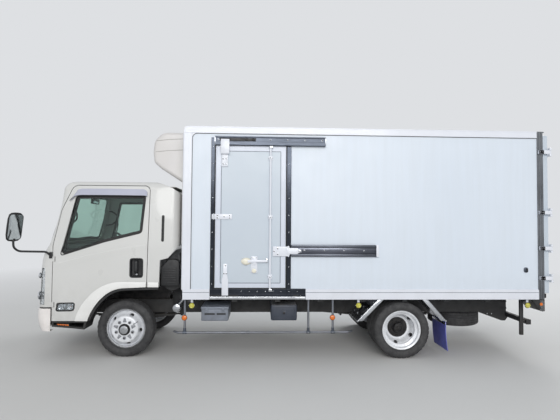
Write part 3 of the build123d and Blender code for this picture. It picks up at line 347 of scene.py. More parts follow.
# The rain visors' smoked plastic; its pale silvery colour is painted reflection of the sky
VISOR = Finish("visor", (196, 198, 214), "glass", coat=0.6, Transmission_Weight=0.15)
VISOR.mottle(3, (176, 179, 196), 0.6).rough(9, 0.08, 0.2)

# The mirrors' glass
MIRROR = Finish("mirror_face", (205, 212, 216), "glass", metal=1).mottle(8, (186, 194, 198), 0.4)
MIRROR.rough(12, 0.02, 0.07)

# Bright reflectors behind the lenses
CHROME = Finish("lamp_reflector", (214, 216, 220), "lens", metal=1).mottle(16, (178, 182, 188), 0.5)
CHROME.rough(20, 0.08, 0.2).grain(60, 0.0012, 0.2)

# Blue-violet mudflap sheet
FLAP = Finish("flap_blue", (88, 94, 182), "flap_blue").mottle(6, (106, 112, 204), 0.8)
FLAP.film(0.6, 0.3, (96, 92, 100)).rough(14, 0.34, 0.6).grain(420, 0.0006, 0.3)

# The battery case's light grey, with a little metal in it
CASE = Finish("case_grey", (128, 134, 145), "case_grey", metal=0.25).mottle(9, (104, 110, 120), 0.8)
CASE.film(0.7, 0.25).rough(16, 0.34, 0.56).grain(240, 0.0005, 0.25)

# The tool case's dark blue-grey
CASE_DARK = Finish("case_dark", (48, 54, 66), "case_grey").mottle(9, (66, 72, 84), 0.7).dust(0.5)
CASE_DARK.rough(16, 0.3, 0.55).grain(240, 0.0005, 0.25)

# The blank plates' off-white
PLATE = Finish("blank_plate", (226, 227, 224), "white_trim").mottle(14, (208, 207, 202), 0.5)
PLATE.rough(20, 0.36, 0.5).grain(240, 0.0004, 0.2)

# Instrument and screen glass over a dark face
DIAL = Finish("dial", (16, 18, 22), "black_plastic", coat=0.8).mottle(40, (34, 38, 44), 0.6)
DIAL.rough(30, 0.06, 0.2)

# The cab's soft roof lining
LINING = Finish("lining", (196, 194, 188), "grey_plastic").mottle(18, (178, 175, 168), 0.5)
LINING.grain(700, 0.0008, 0.4).rough(22, 0.84, 0.96)

# The cream coating of the side door's handle
CREAM = Finish("cream_paint", (232, 228, 212), "white_trim", coat=0.3).mottle(14, (214, 208, 190), 0.5)
CREAM.rough(20, 0.3, 0.44).grain(300, 0.0003, 0.12)

# Painted shade for the cooling unit's press lines and seams
GROOVE_SHADE = Finish("unit_groove_shade", (168, 166, 162), "unit_white").mottle(12, (146, 144, 140), 0.6)
GROOVE_SHADE.rough(16, 0.44, 0.6)

WELD = 0.00002
SHARP = math.radians(28)
NODES_BY_FINISH = {
    PAINT: "cab_front cab_top cab_back cab_door_left cab_door_right",
    LIT_BUMPER: "front_bumper",
    GLASS: "windscreen door_glass_left door_glass_right",
    LENS: "headlamps",
    AMBER: "lamps",
    GREY_DARK: "dashboard",
    CLOTH: "seats",
    PLASTIC: "steering_wheel mirror_left mirror_right cab_steps",
    WHEEL: "front_rim_left front_rim_right rear_rims_left rear_rims_right",
    RUBBER: "front_tyre_left front_tyre_right rear_tyres_left rear_tyres_right",
    DARK: "knuckle_left knuckle_right engine exhaust",
    BLACK: "cab_floor chassis_frame sub_frame front_axle rear_axle fuel_tank rear_guard",
    CASE: "side_cases",
    GUARD: "side_guards",
    BRIGHT: "rear_mudguards",
    FLAP: "mudflaps",
    PANEL: "box_roof box_front_wall box_left_wall box_right_wall",
    TRIM: "box_floor box_rails side_door_gear evaporator",
    REAR_STEEL: "rear_frame",
    STEEL: "side_door_frame",
    LEAF_EDGE: "side_door",
    UNIT: "cooling_unit",
    DOOR: "rear_door_left rear_door_right",
}


def dress_nodes():
    """Give every CAD node its finish and smooth shading with crisp edges."""
    for finish, names in NODES_BY_FINISH.items():
        for node in (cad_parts[name] for name in names.split()):
            node.data.materials.clear()
            node.data.materials.append(finish.material)
            node.modifiers.new("weld", "WELD").merge_threshold = WELD
            node.data.shade_smooth()
            node.modifiers.new("edges", "EDGE_SPLIT").split_angle = SHARP


# Mesh making

def strips(made, rows, loop=False, ring=False):
    """Faces between rows of corners; loop joins the last row to the first, ring closes each row."""
    following = rows[1:] + rows[:1] if loop else rows[1:]
    for first, second in zip(rows, following):
        count = len(first)
        for k in range(count if ring else count - 1):
            j = (k + 1) % count
            made.faces.new([first[k], first[j], second[j], second[k]])


def bevelled(made, soft, steps):
    if soft:
        bmesh.ops.bevel(made, geom=made.edges[:], offset=soft * MM, segments=steps, profile=0.5,
                        affect="EDGES", clamp_overlap=True)
    return made


def box(x0, x1, y0, y1, z0, z1, soft=0, steps=2):
    """A box between two places, its edges rounded by a radius."""
    low = at(min(x0, x1), min(y0, y1), min(z0, z1))
    size = at(max(x0, x1), max(y0, y1), max(z0, z1)) - low
    made = bmesh.new()
    bmesh.ops.create_cube(made, size=1)
    for v in made.verts:
        v.co = [low[k] + (v.co[k] + 0.5) * size[k] for k in range(3)]
    return bevelled(made, soft, steps)


def across(axis):
    """Two directions square to an axis."""
    axis = Vector(axis).normalized()
    side = axis.cross(Vector(UP if abs(axis.z) < 0.9 else ALONG)).normalized()
    return side, axis.cross(side).normalized()


def around(side, over, angle):
    return side * math.cos(angle) + over * math.sin(angle)


def tube(points, radius, sides=16, closed=False):
    """A round bar along places that are given in metres."""
    made = bmesh.new()
    rings = []
    count = len(points)
    previous = None
    for i, point in enumerate(points):
        before = points[i - 1] if (i > 0 or closed) else point
        after = points[(i + 1) % count] if (i < count - 1 or closed) else point
        direction = (after - before).normalized()
        side = across(direction)[0]
        if previous is not None:
            side = (previous - direction * previous.dot(direction)).normalized()
        previous = side
        over = direction.cross(side)
        rings.append([made.verts.new(point + around(side, over, 2 * math.pi * k / sides) * radius * MM)
                      for k in range(sides)])
    strips(made, rings, closed, ring=True)
    if not closed:
        made.faces.new(list(reversed(rings[0])))
        made.faces.new(rings[-1])
    return made


def corner_arc(before, corner, after, radius, steps):
    """Points that turn a corner in a curve, which starts and ends a radius away from it."""
    reach = min(radius, (before - corner).length * 0.45, (after - corner).length * 0.45)
    start = corner + (before - corner).normalized() * reach
    end = corner + (after - corner).normalized() * reach
    shares = [step / steps for step in range(steps + 1)]
    return [start.lerp(corner, share).lerp(corner.lerp(end, share), share) for share in shares]


def rounded_path(points, radius, steps=6):
    """The points with each inner corner turned into an arc."""
    path = [points[0]]
    for corner in zip(points, points[1:], points[2:]):
        path += corner_arc(*corner, radius * MM, steps)
    return path + [points[-1]]


def rounded(points, radius, steps=5):
    """A closed outline with its corners rounded."""
    corners = [Vector(point) for point in points]
    result = []
    for i, corner in enumerate(corners):
        arc = corner_arc(corners[i - 1], corner, corners[(i + 1) % len(corners)], radius, steps)
        result += [(point.x, point.y) for point in arc]
    return result


def square(x0, x1, z0, z1):
    return [(x0, z0), (x1, z0), (x1, z1), (x0, z1)]


def turned(profile, centre, axis, segments=64):
    """A profile of (radius, along) in millimetres, turned round an axis at a place."""
    made = bmesh.new()
    axis = Vector(axis).normalized()
    side, over = across(axis)
    rings = []
    for k in range(segments):
        direction = around(side, over, 2 * math.pi * k / segments)
        rings.append([made.verts.new(centre + direction * r * MM + axis * a * MM) for r, a in profile])
    strips(made, rings, loop=True)
    bmesh.ops.remove_doubles(made, verts=made.verts, dist=1e-7)
    return made


def extruded(near, far):
    """A solid between two like outlines, whose corners are given in metres."""
    made = bmesh.new()
    near = [made.verts.new(place) for place in near]
    far = [made.verts.new(place) for place in far]
    made.faces.new(near)
    made.faces.new(list(reversed(far)))
    strips(made, list(zip(near, far)), loop=True)
    bmesh.ops.recalc_face_normals(made, faces=made.faces)
    return made


def prism(points, y0, y1, soft=0, steps=2):
    """An outline in x and z, carried across the truck."""
    made = extruded([at(x, y0, z) for x, z in points], [at(x, y1, z) for x, z in points])
    return bevelled(made, soft, steps)


def arc_points(start, middle, end, steps):
    """Points on the circle through three (x, z) places, without the start."""
    (ax, az), (bx, bz), (cx, cz) = start, middle, end
    a, b, c = [x * x + z * z for x, z in (start, middle, end)]
    d = 2 * (ax * (bz - cz) + bx * (cz - az) + cx * (az - bz))
    ox = (a * (bz - cz) + b * (cz - az) + c * (az - bz)) / d
    oz = (a * (cx - bx) + b * (ax - cx) + c * (bx - ax)) / d
    radius = math.hypot(ax - ox, az - oz)
    first = math.atan2(az - oz, ax - ox)
    half = (math.atan2(bz - oz, bx - ox) - first + math.pi) % (2 * math.pi) - math.pi
    whole = (math.atan2(cz - oz, cx - ox) - first) % (2 * math.pi)
    if half < 0:
        whole -= 2 * math.pi
    angles = [first + whole * i / steps for i in range(1, steps + 1)]
    return [(ox + radius * math.cos(angle), oz + radius * math.sin(angle)) for angle in angles]


def drawn(start, *pieces, steps=8):
    """An outline's points: each piece is a line's end, or an arc's middle and end."""
    points = [start]
    for piece in pieces:
        is_arc = isinstance(piece[0], tuple)
        points += arc_points(points[-1], *piece, steps) if is_arc else [piece]
    return points


def divided(outline, pitch):
    """A closed outline with its long runs cut into steps."""
    result = []
    for (xa, za), (xb, zb) in zip(outline, outline[1:] + outline[:1]):
        count = max(1, int(math.hypot(xb - xa, zb - za) / pitch))
        result += [(xa + (xb - xa) * i / count, za + (zb - za) * i / count) for i in range(count)]
    return result


def spaced(points, count):
    """Places at even steps along a line of (a, b) points, its ends included."""
    reach = [0]
    for first, second in zip(points, points[1:]):
        reach.append(reach[-1] + math.dist(first, second))
    result = []
    for i in range(count + 1):
        target = reach[-1] * i / count
        k = max(1, min(len(points) - 1, sum(1 for value in reach if value < target)))
        share = (target - reach[k - 1]) / (reach[k] - reach[k - 1])
        result.append(tuple(a + (b - a) * share for a, b in zip(points[k - 1], points[k])))
    return result


def spanned(top, foot, rows, place):
    """A skin between two lines on a face; each row is (share of the way down, how far proud)."""
    made = bmesh.new()
    strips(made, [[made.verts.new(place(xa + (xb - xa) * share, za + (zb - za) * share, proud))
                   for share, proud in rows] for (xa, za), (xb, zb) in zip(top, foot)])
    return made


def band(outline, profile, place, closed=True):
    """A strip along a flat outline: each profile row is (how far outward, how far proud)."""
    made = bmesh.new()
    count = len(outline)
    area = sum(outline[i - 1][0] * outline[i][1] - outline[i][0] * outline[i - 1][1] for i in range(count))
    turn = 1 if area > 0 else -1
    rows = []
    for i, (x, z) in enumerate(outline):
        before = Vector(outline[i - 1] if (closed or i > 0) else (x, z))
        after = Vector(outline[(i + 1) % count] if (closed or i < count - 1) else (x, z))
        run = (after - before).normalized() * turn
        rows.append([made.verts.new(place(x + run.y * out, z - run.x * out, proud))
                     for out, proud in profile])
    strips(made, rows, closed)
    if not closed:
        made.faces.new(rows[0])
        made.faces.new(list(reversed(rows[-1])))
    return made


def filled(outline, place, proud, rise=0):
    """A face over an outline, crowned a little at its middle."""
    made = bmesh.new()
    cx, cz = [sum(values) / len(outline) for values in zip(*outline)]
    rings = []
    for share in (1, 0.8, 0.5, 0.2):
        height = proud + rise * (1 - share ** 2)
        rings.append([made.verts.new(place(cx + (x - cx) * share, cz + (z - cz) * share, height))
                      for x, z in outline])
    centre = made.verts.new(place(cx, cz, proud + rise))
    strips(made, rings, ring=True)
    for i, corner in enumerate(rings[-1]):
        made.faces.new([corner, rings[-1][(i + 1) % len(outline)], centre])
    return made


def thickened(made, thickness):
    bmesh.ops.solidify(made, geom=made.faces[:], thickness=thickness * MM)
    return made


def evened(made):
    bmesh.ops.recalc_face_normals(made, faces=made.faces)
    return made


def widened(made, x, share):
    """Stretch a mesh along the truck about a place."""
    middle = at(x, 0, 0).x
    for v in made.verts:
        v.co.x = middle + (v.co.x - middle) * share
    return made


def tilted(made, degrees, x, z):
    """Turn a mesh about a line across the truck."""
    turn = Matrix.Rotation(math.radians(degrees), 3, "Y")
    bmesh.ops.rotate(made, verts=made.verts, cent=at(x, 0, z), matrix=turn)
    return made


# Faces to lay things on: each gives a place from two measures on the face and how far proud of it

def wall(side, y):
    """An upright face along the truck: x, height."""
    return lambda x, z, proud: at(x, side * (y + proud), z)


def end_wall(x, way=1):
    """An upright face across the truck, facing back or, with -1, ahead: y, height."""
    return lambda y, z, proud: at(x + way * proud, y, z)


class Piece:
    """One visible mesh on a body, built up from simple shapes with a finish for each.

    Its shapes take places in millimetres, with y measured outward on the side that is worked on,
    or places in metres as vectors. A shape with no axis of its own stands out from that side.
    """

    def __init__(self, name, body="root", side=RIGHT):
        self.name = name
        self.body = body
        self.side = side
        self.mesh = bmesh.new()
        self.finishes = []

    def both(self):
        """Work on each side in turn, the right one last."""
        for side in (LEFT, RIGHT):
            self.side = side
            yield side

    def at(self, place):
        return place if isinstance(place, Vector) else at(place[0], self.side * place[1], place[2])

    def out(self, axis=None):
        return Vector(axis or (0, self.side, 0))

    def add(self, other, finish, matrix=None):
        """Take in a bmesh, moved by a matrix."""
        if matrix is not None:
            bmesh.ops.transform(other, matrix=matrix, verts=other.verts)
        if finish not in self.finishes:
            self.finishes.append(finish)
        evened(other)
        made = {v: self.mesh.verts.new(v.co) for v in other.verts}
        for face in other.faces:
            self.mesh.faces.new([made[v] for v in face.verts]).material_index = self.finishes.index(finish)
        other.free()

    def box(self, finish, x0, x1, y0, y1, z0, z1, soft=0, steps=2):
        self.add(box(x0, x1, self.side * y0, self.side * y1, z0, z1, soft, steps), finish)

    def bar(self, finish, points, radius, sides=16, bend=0, steps=6, closed=False):
        """A round bar through places, its corners rounded where a bend is given."""
        path = [self.at(point) for point in points]
        self.add(tube(rounded_path(path, bend, steps) if bend else path, radius, sides, closed), finish)

    def turn(self, finish, profile, place, segments=64, axis=None):
        self.add(turned(profile, self.at(place), self.out(axis), segments), finish)

    def disc(self, finish, place, radius, height, soft=2, segments=32, axis=None):
        """A short round boss with a softened rim, standing on its place."""
        soft = min(soft, radius * 0.45, height * 0.45)
        profile = [(0, 0), (radius, 0), (radius, height - soft),
                   (radius - soft * 0.3, height - soft * 0.3), (radius - soft, height), (0, height)]
        self.turn(finish, profile, place, segments, axis)

    def nut(self, finish, place, radius, height, axis=None):
        """A nut or a bolt head with a chamfered top."""
        profile = [(0, 0), (radius, 0), (radius, height * 0.8), (radius * 0.86, height), (0, height)]
        self.turn(finish, profile, place, 6, axis)

    def prism(self, finish, points, y0, y1, soft=0, steps=2):
        self.add(prism(points, self.side * y0, self.side * y1, soft, steps), finish)

    def plate(self, finish, corners, y0, y1, radius=6, soft=1.5):
        """A flat plate on a side face, the corners of its outline rounded."""
        self.prism(finish, rounded(corners, radius, 3), y0, y1, soft)

    def band(self, finish, outline, profile, place, closed=True):
        self.add(band(outline, profile, place, closed), finish)

    def face(self, finish, outline, place, proud, rise=0):
        self.add(filled(outline, place, proud, rise), finish)

    def bead(self, finish, path, place, half=3, proud=2.2):
        """A low raised bead along an open path."""
        rows = [(-half, 0.1), (-half * 0.7, proud), (half * 0.7, proud), (half, 0.1)]
        self.band(finish, path, rows, place, closed=False)

    def studs(self, finish, places, axis=None, radius=5, height=2.4):
        """Low domed heads of rivets and screws."""
        for place in places:
            self.disc(finish, place, radius, height, height * 0.8, 12, axis)

    def strap(self, finish, place, inner, outer, width, segments, axis=None):
        """A band round a tube or a tank."""
        profile = [(inner, 0), (outer, 1), (outer, width - 1), (inner, width)]
        self.turn(finish, profile, place, segments, axis)

    def bolts(self, places, y, size=7):
        """Bolt heads on washers, on a side face at places given as x and z."""
        for x, z in places:
            self.disc(BRIGHT, (x, y, z), size * 1.3, 1.6, 0.6, 20)
            self.nut(DARK, self.at((x, y, z)) + self.out() * 1.4 * MM, size, size * 0.7)

    def done(self, smooth=30):
        data = bpy.data.meshes.new(self.name)
        self.mesh.to_mesh(data)
        self.mesh.free()
        for finish in self.finishes:
            data.materials.append(finish.material)
        data.shade_smooth()
        data.set_sharp_from_angle(angle=math.radians(smooth))
        made = added(self.name, data)
        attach(made, self.body)
        return made


# Wheels

BEAD = 222
DISC_OUT = 115
NUT_RING = 102
DUAL_OUTER_Y = 827.5
DUAL_SPACING = 240


def tyre_mesh(centre):
    """A road tyre: four tread grooves, shoulder notches, ribbed walls."""
    segments = 144
    notch_every = 4
    # Each row: radius, place along the axle, whether the shoulder notches cut it
    profile = [(BEAD + r, a, 0) for r, a in (
        (0, -56), (8, -62), (13, -68), (18, -72), (22, -86), (40, -97), (44, -99.4), (56, -100.6),
        (60, -102), (66, -101.4), (80, -98), (92, -93))]
    profile.append((BEAD + 98, -90, 1))
    profile += [(TYRE_RADIUS - deep, a, 1) for deep, a in ((9, -84), (3, -78), (0, -68))]
    far_wall = [(r, -a, cut) for r, a, cut in reversed(profile)]
    for middle in (-48, -18, 18, 48):
        groove = ((0, -4), (9, -2.5), (9, 2.5), (0, 4))
        profile += [(TYRE_RADIUS - deep, middle + a, 0) for deep, a in groove]
    profile += far_wall
    made = bmesh.new()
    rings = []
    for k in range(segments):
        out = around(Vector(ALONG), Vector(UP), 2 * math.pi * k / segments)
        notch = 5 if k % notch_every == 0 else 0
        rings.append([made.verts.new(centre + (out * (r - notch * cut) + Vector((0, a, 0))) * MM)
                      for r, a, cut in profile])
    strips(made, rings, loop=True)
    return made


def meshed(name, mesh):
    """An object made from a bmesh."""
    data = bpy.data.meshes.new(name)
    mesh.to_mesh(data)
    mesh.free()
    return added(name, data)


def cut_holes(made, centre, ring, count, half, axis_y, lead=0):
    """Cut oval holes through a wheel disc, drawn across the truck; half is (along the ring, across it)."""
    along, outward = half
    tool = bmesh.new()
    for i in range(count):
        angle = lead + 2 * math.pi * i / count
        c, s = math.cos(angle), math.sin(angle)
        place = centre + Vector((c * ring, axis_y, s * ring)) * MM
        turn = Matrix(((-s * along, c * outward, 0), (0, 0, 1), (c * along, s * outward, 0))).to_4x4()
        bmesh.ops.create_cone(tool, cap_ends=True, segments=28, radius1=MM, radius2=MM, depth=0.12,
                              matrix=Matrix.Translation(place) @ turn)
    piece = meshed("cut", made)
    cutter = meshed("tool", tool)
    cut = piece.modifiers.new("cut", "BOOLEAN")
    cut.operation = "DIFFERENCE"
    cut.object = cutter
    cut.solver = "EXACT"
    result = bmesh.new()
    result.from_object(piece, bpy.context.evaluated_depsgraph_get())
    bpy.data.objects.remove(piece)
    bpy.data.objects.remove(cutter)
    return result


def rim_mesh(centre, side, lead=-6):
    """A dished disc wheel: a shaped barrel and a disc with five hand holes."""
    barrel = [(234, 70), (236, 68), (234, 62), (226, 60), (220, 52), (219, 22), (190, 12), (188, 0),
              (190, -12), (219, -22), (221, -60), (232, -62), (236, -68), (234, -70), (226, -69), (214, -60),
              (212, -24), (182, -12), (181, 0), (182, 12), (211, 24), (213, 44)]
    dish = [(212, 30), (196, 44), (178, 70), (168, 92), (160, 106), (150, 113), (138, 115), (70, 115),
            (66, 112), (66, 106), (136, 106), (146, 104), (154, 96), (162, 76), (176, 50), (190, 34),
            (211, 24)]
    made = turned(barrel + dish, centre, (0, side, 0), 96)
    return cut_holes(made, centre, 176, 5, (26, 17.5), side * 78, math.radians(lead))


def star(piece, centre):
    """The five raised fins pressed between the wheel nuts, in a darker copy of the wheel paint that is
    painted shadow.
    """
    base = [(84, -22), (84, 22), (134, 10), (134, -10)]
    crest = [(90, -13), (90, 13), (126, 4), (126, -4)]
    for i in range(5):
        radial = around(Vector(ALONG), Vector(UP), math.radians(90 + 72 * i))
        cross_way = Vector((-radial.z, 0, radial.x))
        made = bmesh.new()
        low, top = [[made.verts.new(centre + (radial * r + cross_way * s + piece.out() * out) * MM)
                     for r, s in corners] for corners, out in ((base, DISC_OUT), (crest, DISC_OUT + 9))]
        made.faces.new(top)
        strips(made, [low, top], ring=True)
        evened(made)
        bmesh.ops.bevel(made, geom=[e for e in made.edges if not e.is_boundary], offset=0.003, segments=2,
                        profile=0.5, affect="EDGES")
        piece.add(made, WHEEL_GREY_AND_SHADOW)


def nuts(piece, centre, base, finish):
    """Wheel nuts with washers and stud ends."""
    for i in range(5):
        turn = around(Vector(ALONG), Vector(UP), math.radians(126 + 72 * i))
        place = centre + (turn * NUT_RING + piece.out() * base) * MM
        piece.disc(finish, place, 19, 4, 1.5, 24)
        piece.nut(finish, place + piece.out() * 3 * MM, 16, 16)
        piece.disc(DARK, place + piece.out() * 18 * MM, 9, 7, 2, 16)


def valve(piece, centre):
    """The tyre valve, lying against the disc beside a hand hole."""
    start, bend, end = [centre + Vector((x, piece.side * y, z)) * MM
                        for x, y, z in ((150, 108, 90), (140, 126, 84), (118, 134, 70))]
    piece.bar(BRIGHT, [start, bend, end], 4.5, 10, 8)
    piece.bar(PLASTIC, [end, end + (end - bend).normalized() * 12 * MM], 6, 10)


def tyres(name, body, centres):
    piece = Piece(name, body)
    for centre in centres:
        piece.add(tyre_mesh(centre), RUBBER)
    return piece.done(40)


def front_wheel(side, name):
    centre = at(0, side * FRONT_WHEEL_Y, AXLE_Z)
    body = f"front_wheel_{name}"
    rim = Piece(f"front_wheel_{name}_rim", body, side)
    rim.add(rim_mesh(centre, side), WHEEL)
    star(rim, centre)
    nuts(rim, centre, DISC_OUT, WHEEL_GREY_AND_SHADOW)
    valve(rim, centre)
    for finish, profile in (
            (WHEEL, [(84, 112), (84, 117), (80, 122), (70, 123.3)]),
            (SEAL, [(70, 123.3), (64, 124), (58, 122), (58, 108)]),
            (SEAL, [(57, 108), (57, 130), (56, 140), (50, 147), (48, 148)]),
            (BRIGHT, [(48, 148), (38, 150), (20, 151), (0, 151)]),
            (DARK, [(66, 112), (66, 40), (30.2, 40)]),
            # A black ring behind the hand holes stands in for the shade seen through them.
            (SEAL, [(120, 27), (200, 27)])):
        rim.turn(finish, profile, centre)
    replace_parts(rim.done(), f"front_rim_{name}")
    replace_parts(tyres(f"front_wheel_{name}_tyre", body, [centre]), f"front_tyre_{name}")


def rear_wheels(side, name):
    """A pair of wheels, their discs back to back, on a dark hub with its nuts and cap."""
    disc_y = DUAL_OUTER_Y - DISC_OUT
    base = disc_y + 9
    body = f"rear_wheels_{name}"
    outer, inner = [at(REAR_AXLE, side * y, AXLE_Z) for y in (DUAL_OUTER_Y, DUAL_OUTER_Y - DUAL_SPACING)]
    rim = Piece(f"rear_wheels_{name}_rims", body, side)
    rim.add(rim_mesh(outer, -side, -30), WHEEL)
    rim.add(rim_mesh(inner, side, -30), WHEEL)
    flange = [(70, -40), (70, 10), (72, 14), (66, 20), (60, 24), (58, 60), (54, 66), (40, 69), (0, 70)]
    rim.turn(DARK, flange, (REAR_AXLE, disc_y, AXLE_Z))
    rim.disc(DARK, (REAR_AXLE, disc_y + 69, AXLE_Z), 22, 10, 4, 6)
    nuts(rim, at(REAR_AXLE, 0, AXLE_Z), base, DARK)
    nut_plate = [(68, 0), (68, 2.5), (122, 2.5), (124, 0.5), (124, -0.5)]
    rim.turn(DARK, nut_plate, (REAR_AXLE, base, AXLE_Z))
    for i in range(8):
        angle = 2 * math.pi * (i + 0.5) / 8
        rim.nut(DARK, (REAR_AXLE + 46 * math.cos(angle), disc_y + 66, AXLE_Z + 46 * math.sin(angle)), 6, 7)
    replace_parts(rim.done(), f"rear_rims_{name}")
    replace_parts(tyres(f"rear_wheels_{name}_tyres", body, [outer, inner]), f"rear_tyres_{name}")


# Cab surfaces

SIDE_BY_HEIGHT = [(418, 848), (1230, 848), (1347, 846), (1700, 826), (2030, 804), (2088, 786), (2122, 728)]
FRONT_BY_HEIGHT = [(418, -1062), (750, -1071), (1050, -1062), (1230, -1033), (1347, -969), (1700, -869),
                   (2030, -820), (2088, -785), (2122, -700)]
BUMPER_BY_HEIGHT = [(330, -1046), (461, -1086), (595, -1083)]
BUMPER_HALF = 862
FRONT_BOW = 60


def between(table, height):
    """A value read between the rows of a (height, value) table."""
    for (z0, v0), (z1, v1) in zip(table, table[1:]):
        if height <= z1:
            return v0 + (v1 - v0) * max(0, (height - z0) / (z1 - z0))
    return table[-1][1]


def bowed(half, y):
    """How far a front that is bowed over a half width lies behind its middle."""
    radius = (half ** 2 + FRONT_BOW ** 2) / (2 * FRONT_BOW)
    return radius - math.sqrt(radius ** 2 - y ** 2)


def side_y(z):
    """The cab side's distance from the middle at a height."""
    return between(SIDE_BY_HEIGHT, z)


def front_x(y, z):
    """The cab front's place along the truck, bowed back towards its corners."""
    return between(FRONT_BY_HEIGHT, z) + bowed(side_y(z), y)


def bumper_x(y, z):
    return between(BUMPER_BY_HEIGHT, z) + bowed(BUMPER_HALF, y)


def on_side(side, inset=0, way=1):
    """The cab's side: x, height. With -1 it is the inside of a door, at an inset."""
    return lambda x, z, proud: at(x, side * (side_y(z) - inset + way * proud), z)


def on_front(y, z, proud):
    return at(front_x(y, z) - proud, y, z)


def on_bumper(y, z, proud):
    return at(bumper_x(y, z) - proud, y, z)


WINDOW = [(-756, 1227), (-248, 1394), (187, 1504), (222, 1946), (-594, 1938)]
HANDLE = (59, 214, 964, 1192)
LAMP = (-797, -588, 566, 662)
LINING_INSET = 60


def door_seal(piece):
    """The window's rubber outside and its dark frame inside."""
    outline = rounded(WINDOW, 34, 6)
    rubber = [(10, 0.3), (10, 2), (7, 3.6), (2, 3.6), (-1, 1), (-2, -14.5), (-26, -15.5)]
    inner = [(-2, -22), (-30, -22.5), (-30, -40), (4, -56)]
    piece.band(SEAL, outline, rubber, on_side(piece.side))
    piece.band(GREY_DARK, outline, inner, on_side(piece.side))


def visor(piece):
    """The smoked rain visor over the door window, standing off the frame along its foot."""
    place = on_side(piece.side)
    top = [(-640, 1900), (-622, 1965), (-590, 2014), (-540, 2029), (-200, 2032), (200, 2029), (232, 2012),
           (244, 1990)]
    foot = [(-668, 1880), (-640, 1916), (-604, 1938), (-545, 1948), (-200, 1950), (205, 1948), (238, 1944),
            (246, 1942)]
    rows = ((0, 1.5), (0.12, 5), (0.4, 15), (0.7, 24), (0.94, 30), (1, 31))
    piece.add(thickened(evened(spanned(top, foot, rows, place)), 3), VISOR)
    piece.bar(SEAL, [place(x, z, 31) for x, z in foot], 2.6, 8, 20, 3)


def door_handle(piece):
    """A black cup with a bezel, an upright grip and the lock barrel."""
    x0, x1, z0, z1 = HANDLE
    place = on_side(piece.side)
    cup = [(4, 0.3), (4, 3), (0, 4.2), (-8, 4), (-11, 1), (-15, -20), (-22, -29)]
    piece.band(PLASTIC, rounded(square(*HANDLE), 34, 6), cup, place)
    piece.face(PLASTIC, rounded(square(x0 + 20, x1 - 20, z0 + 20, z1 - 20), 20, 5), place, -28, -3)
    x = (x0 + x1) / 2
    y = side_y((z0 + z1) / 2)
    path = [piece.at((x - 6, y - deep, z))
            for deep, z in ((24, z1 - 26), (2, z1 - 44), (2, z0 + 78), (22, z0 + 52))]
    piece.add(widened(tube(rounded_path(path, 26), 15), x - 6, 1.5), PLASTIC)
    piece.disc(PLASTIC, (x, y - 28, z0 + 36), 17, 12, 3, 28)
    piece.disc(BRIGHT, (x, y - 16, z0 + 36), 11, 3, 1.5, 24)
    piece.box(DARK, x - 1.5, x + 1.5, y - 13.6, y - 12.4, z0 + 28, z0 + 44, 0.4)


def side_lamp(piece):
    """The cornering lamp low on the door: bezel, reflector, two bulbs and a ribbed clear lens."""
    x0, x1, z0, z1 = LAMP
    middle_x, middle_z = (x0 + x1) / 2, (z0 + z1) / 2
    corners = [(x0, z0 + 14), (x0 + 12, z0), (x1 - 26, z0 + 2), (x1, z0 + 20), (x1 + 4, z1 - 12),
               (x1 - 10, z1), (x0 + 20, z1 - 4)]
    outline = rounded(corners, 18, 5)
    place = on_side(piece.side)
    piece.band(PLASTIC, outline, [(6, 0.3), (6, 3), (2, 4.4), (-6, 4.2), (-9, 1), (-12, -18)], place)
    small = [(x - (x - middle_x) * 0.1, z - (z - middle_z) * 0.16) for x, z in outline]
    piece.face(CHROME, small, place, -17, -2)
    wall_x = x0 + (x1 - x0) * 0.52
    y = side_y(z0)
    piece.box(PLASTIC, wall_x - 4, wall_x + 4, y - 18, y - 3, z0 + 10, z1 - 8, 1.5)
    for x, finish in (((x0 + wall_x) / 2, CHROME), ((wall_x + x1) / 2, AMBER)):
        piece.turn(CHROME, [(0, 1), (12, 2), (24, 5), (32, 11), (34, 12)], (x, y - 17, middle_z), 28)
        piece.turn(finish, [(5, 0), (6, 6), (5, 11), (0, 13)], (x, y - 17, middle_z), 20)
    piece.add(thickened(filled(small, place, -2, 4), 2.5), LENS)


def door_lining(piece):
    """The door's inside: a grey trim panel with an arm rest, pull, pocket and window crank."""
    place = on_side(piece.side, LINING_INSET, -1)
    corners = [(-760, 1000), (-560, 860), (-300, 900), (240, 900), (246, 1470), (-230, 1350), (-740, 1190)]
    panel = rounded(corners, 40, 5)
    piece.face(GREY, panel, place, 0.6, 9)
    piece.band(GREY_DARK, panel, [(2, 0.2), (2, 4), (-4, 6.5), (-14, 4)], place)
    y = CAB_SIDE - LINING_INSET
    arm = [(-420, y - 6, 1216), (-380, y - 48, 1216), (60, y - 50, 1216), (120, y - 6, 1216)]
    piece.bar(GREY_DARK, arm, 22, 14, 40, 5)
    piece.box(GREY_DARK, -520, 40, y - 46, y - 4, 930, 1030, 14, 3)
    piece.box(PLASTIC, -490, 10, y - 40, y - 10, 1006, 1034, 4)
    inward = (0, -piece.side, 0)
    piece.disc(PLASTIC, (-330, y - 4, 1120), 24, 22, 4, 28, inward)
    piece.bar(PLASTIC, [(-330, y - 26, 1120), (-250, y - 34, 1085)], 7, 12)
    piece.disc(PLASTIC, (-250, y - 30, 1085), 13, 22, 5, 24, inward)
    for x, z in ((-690, 1050), (-280, 940), (200, 940), (200, 1400), (-250, 1290)):
        piece.disc(PLASTIC, (x, y - 1, z), 9, 5, 2, 16, inward)


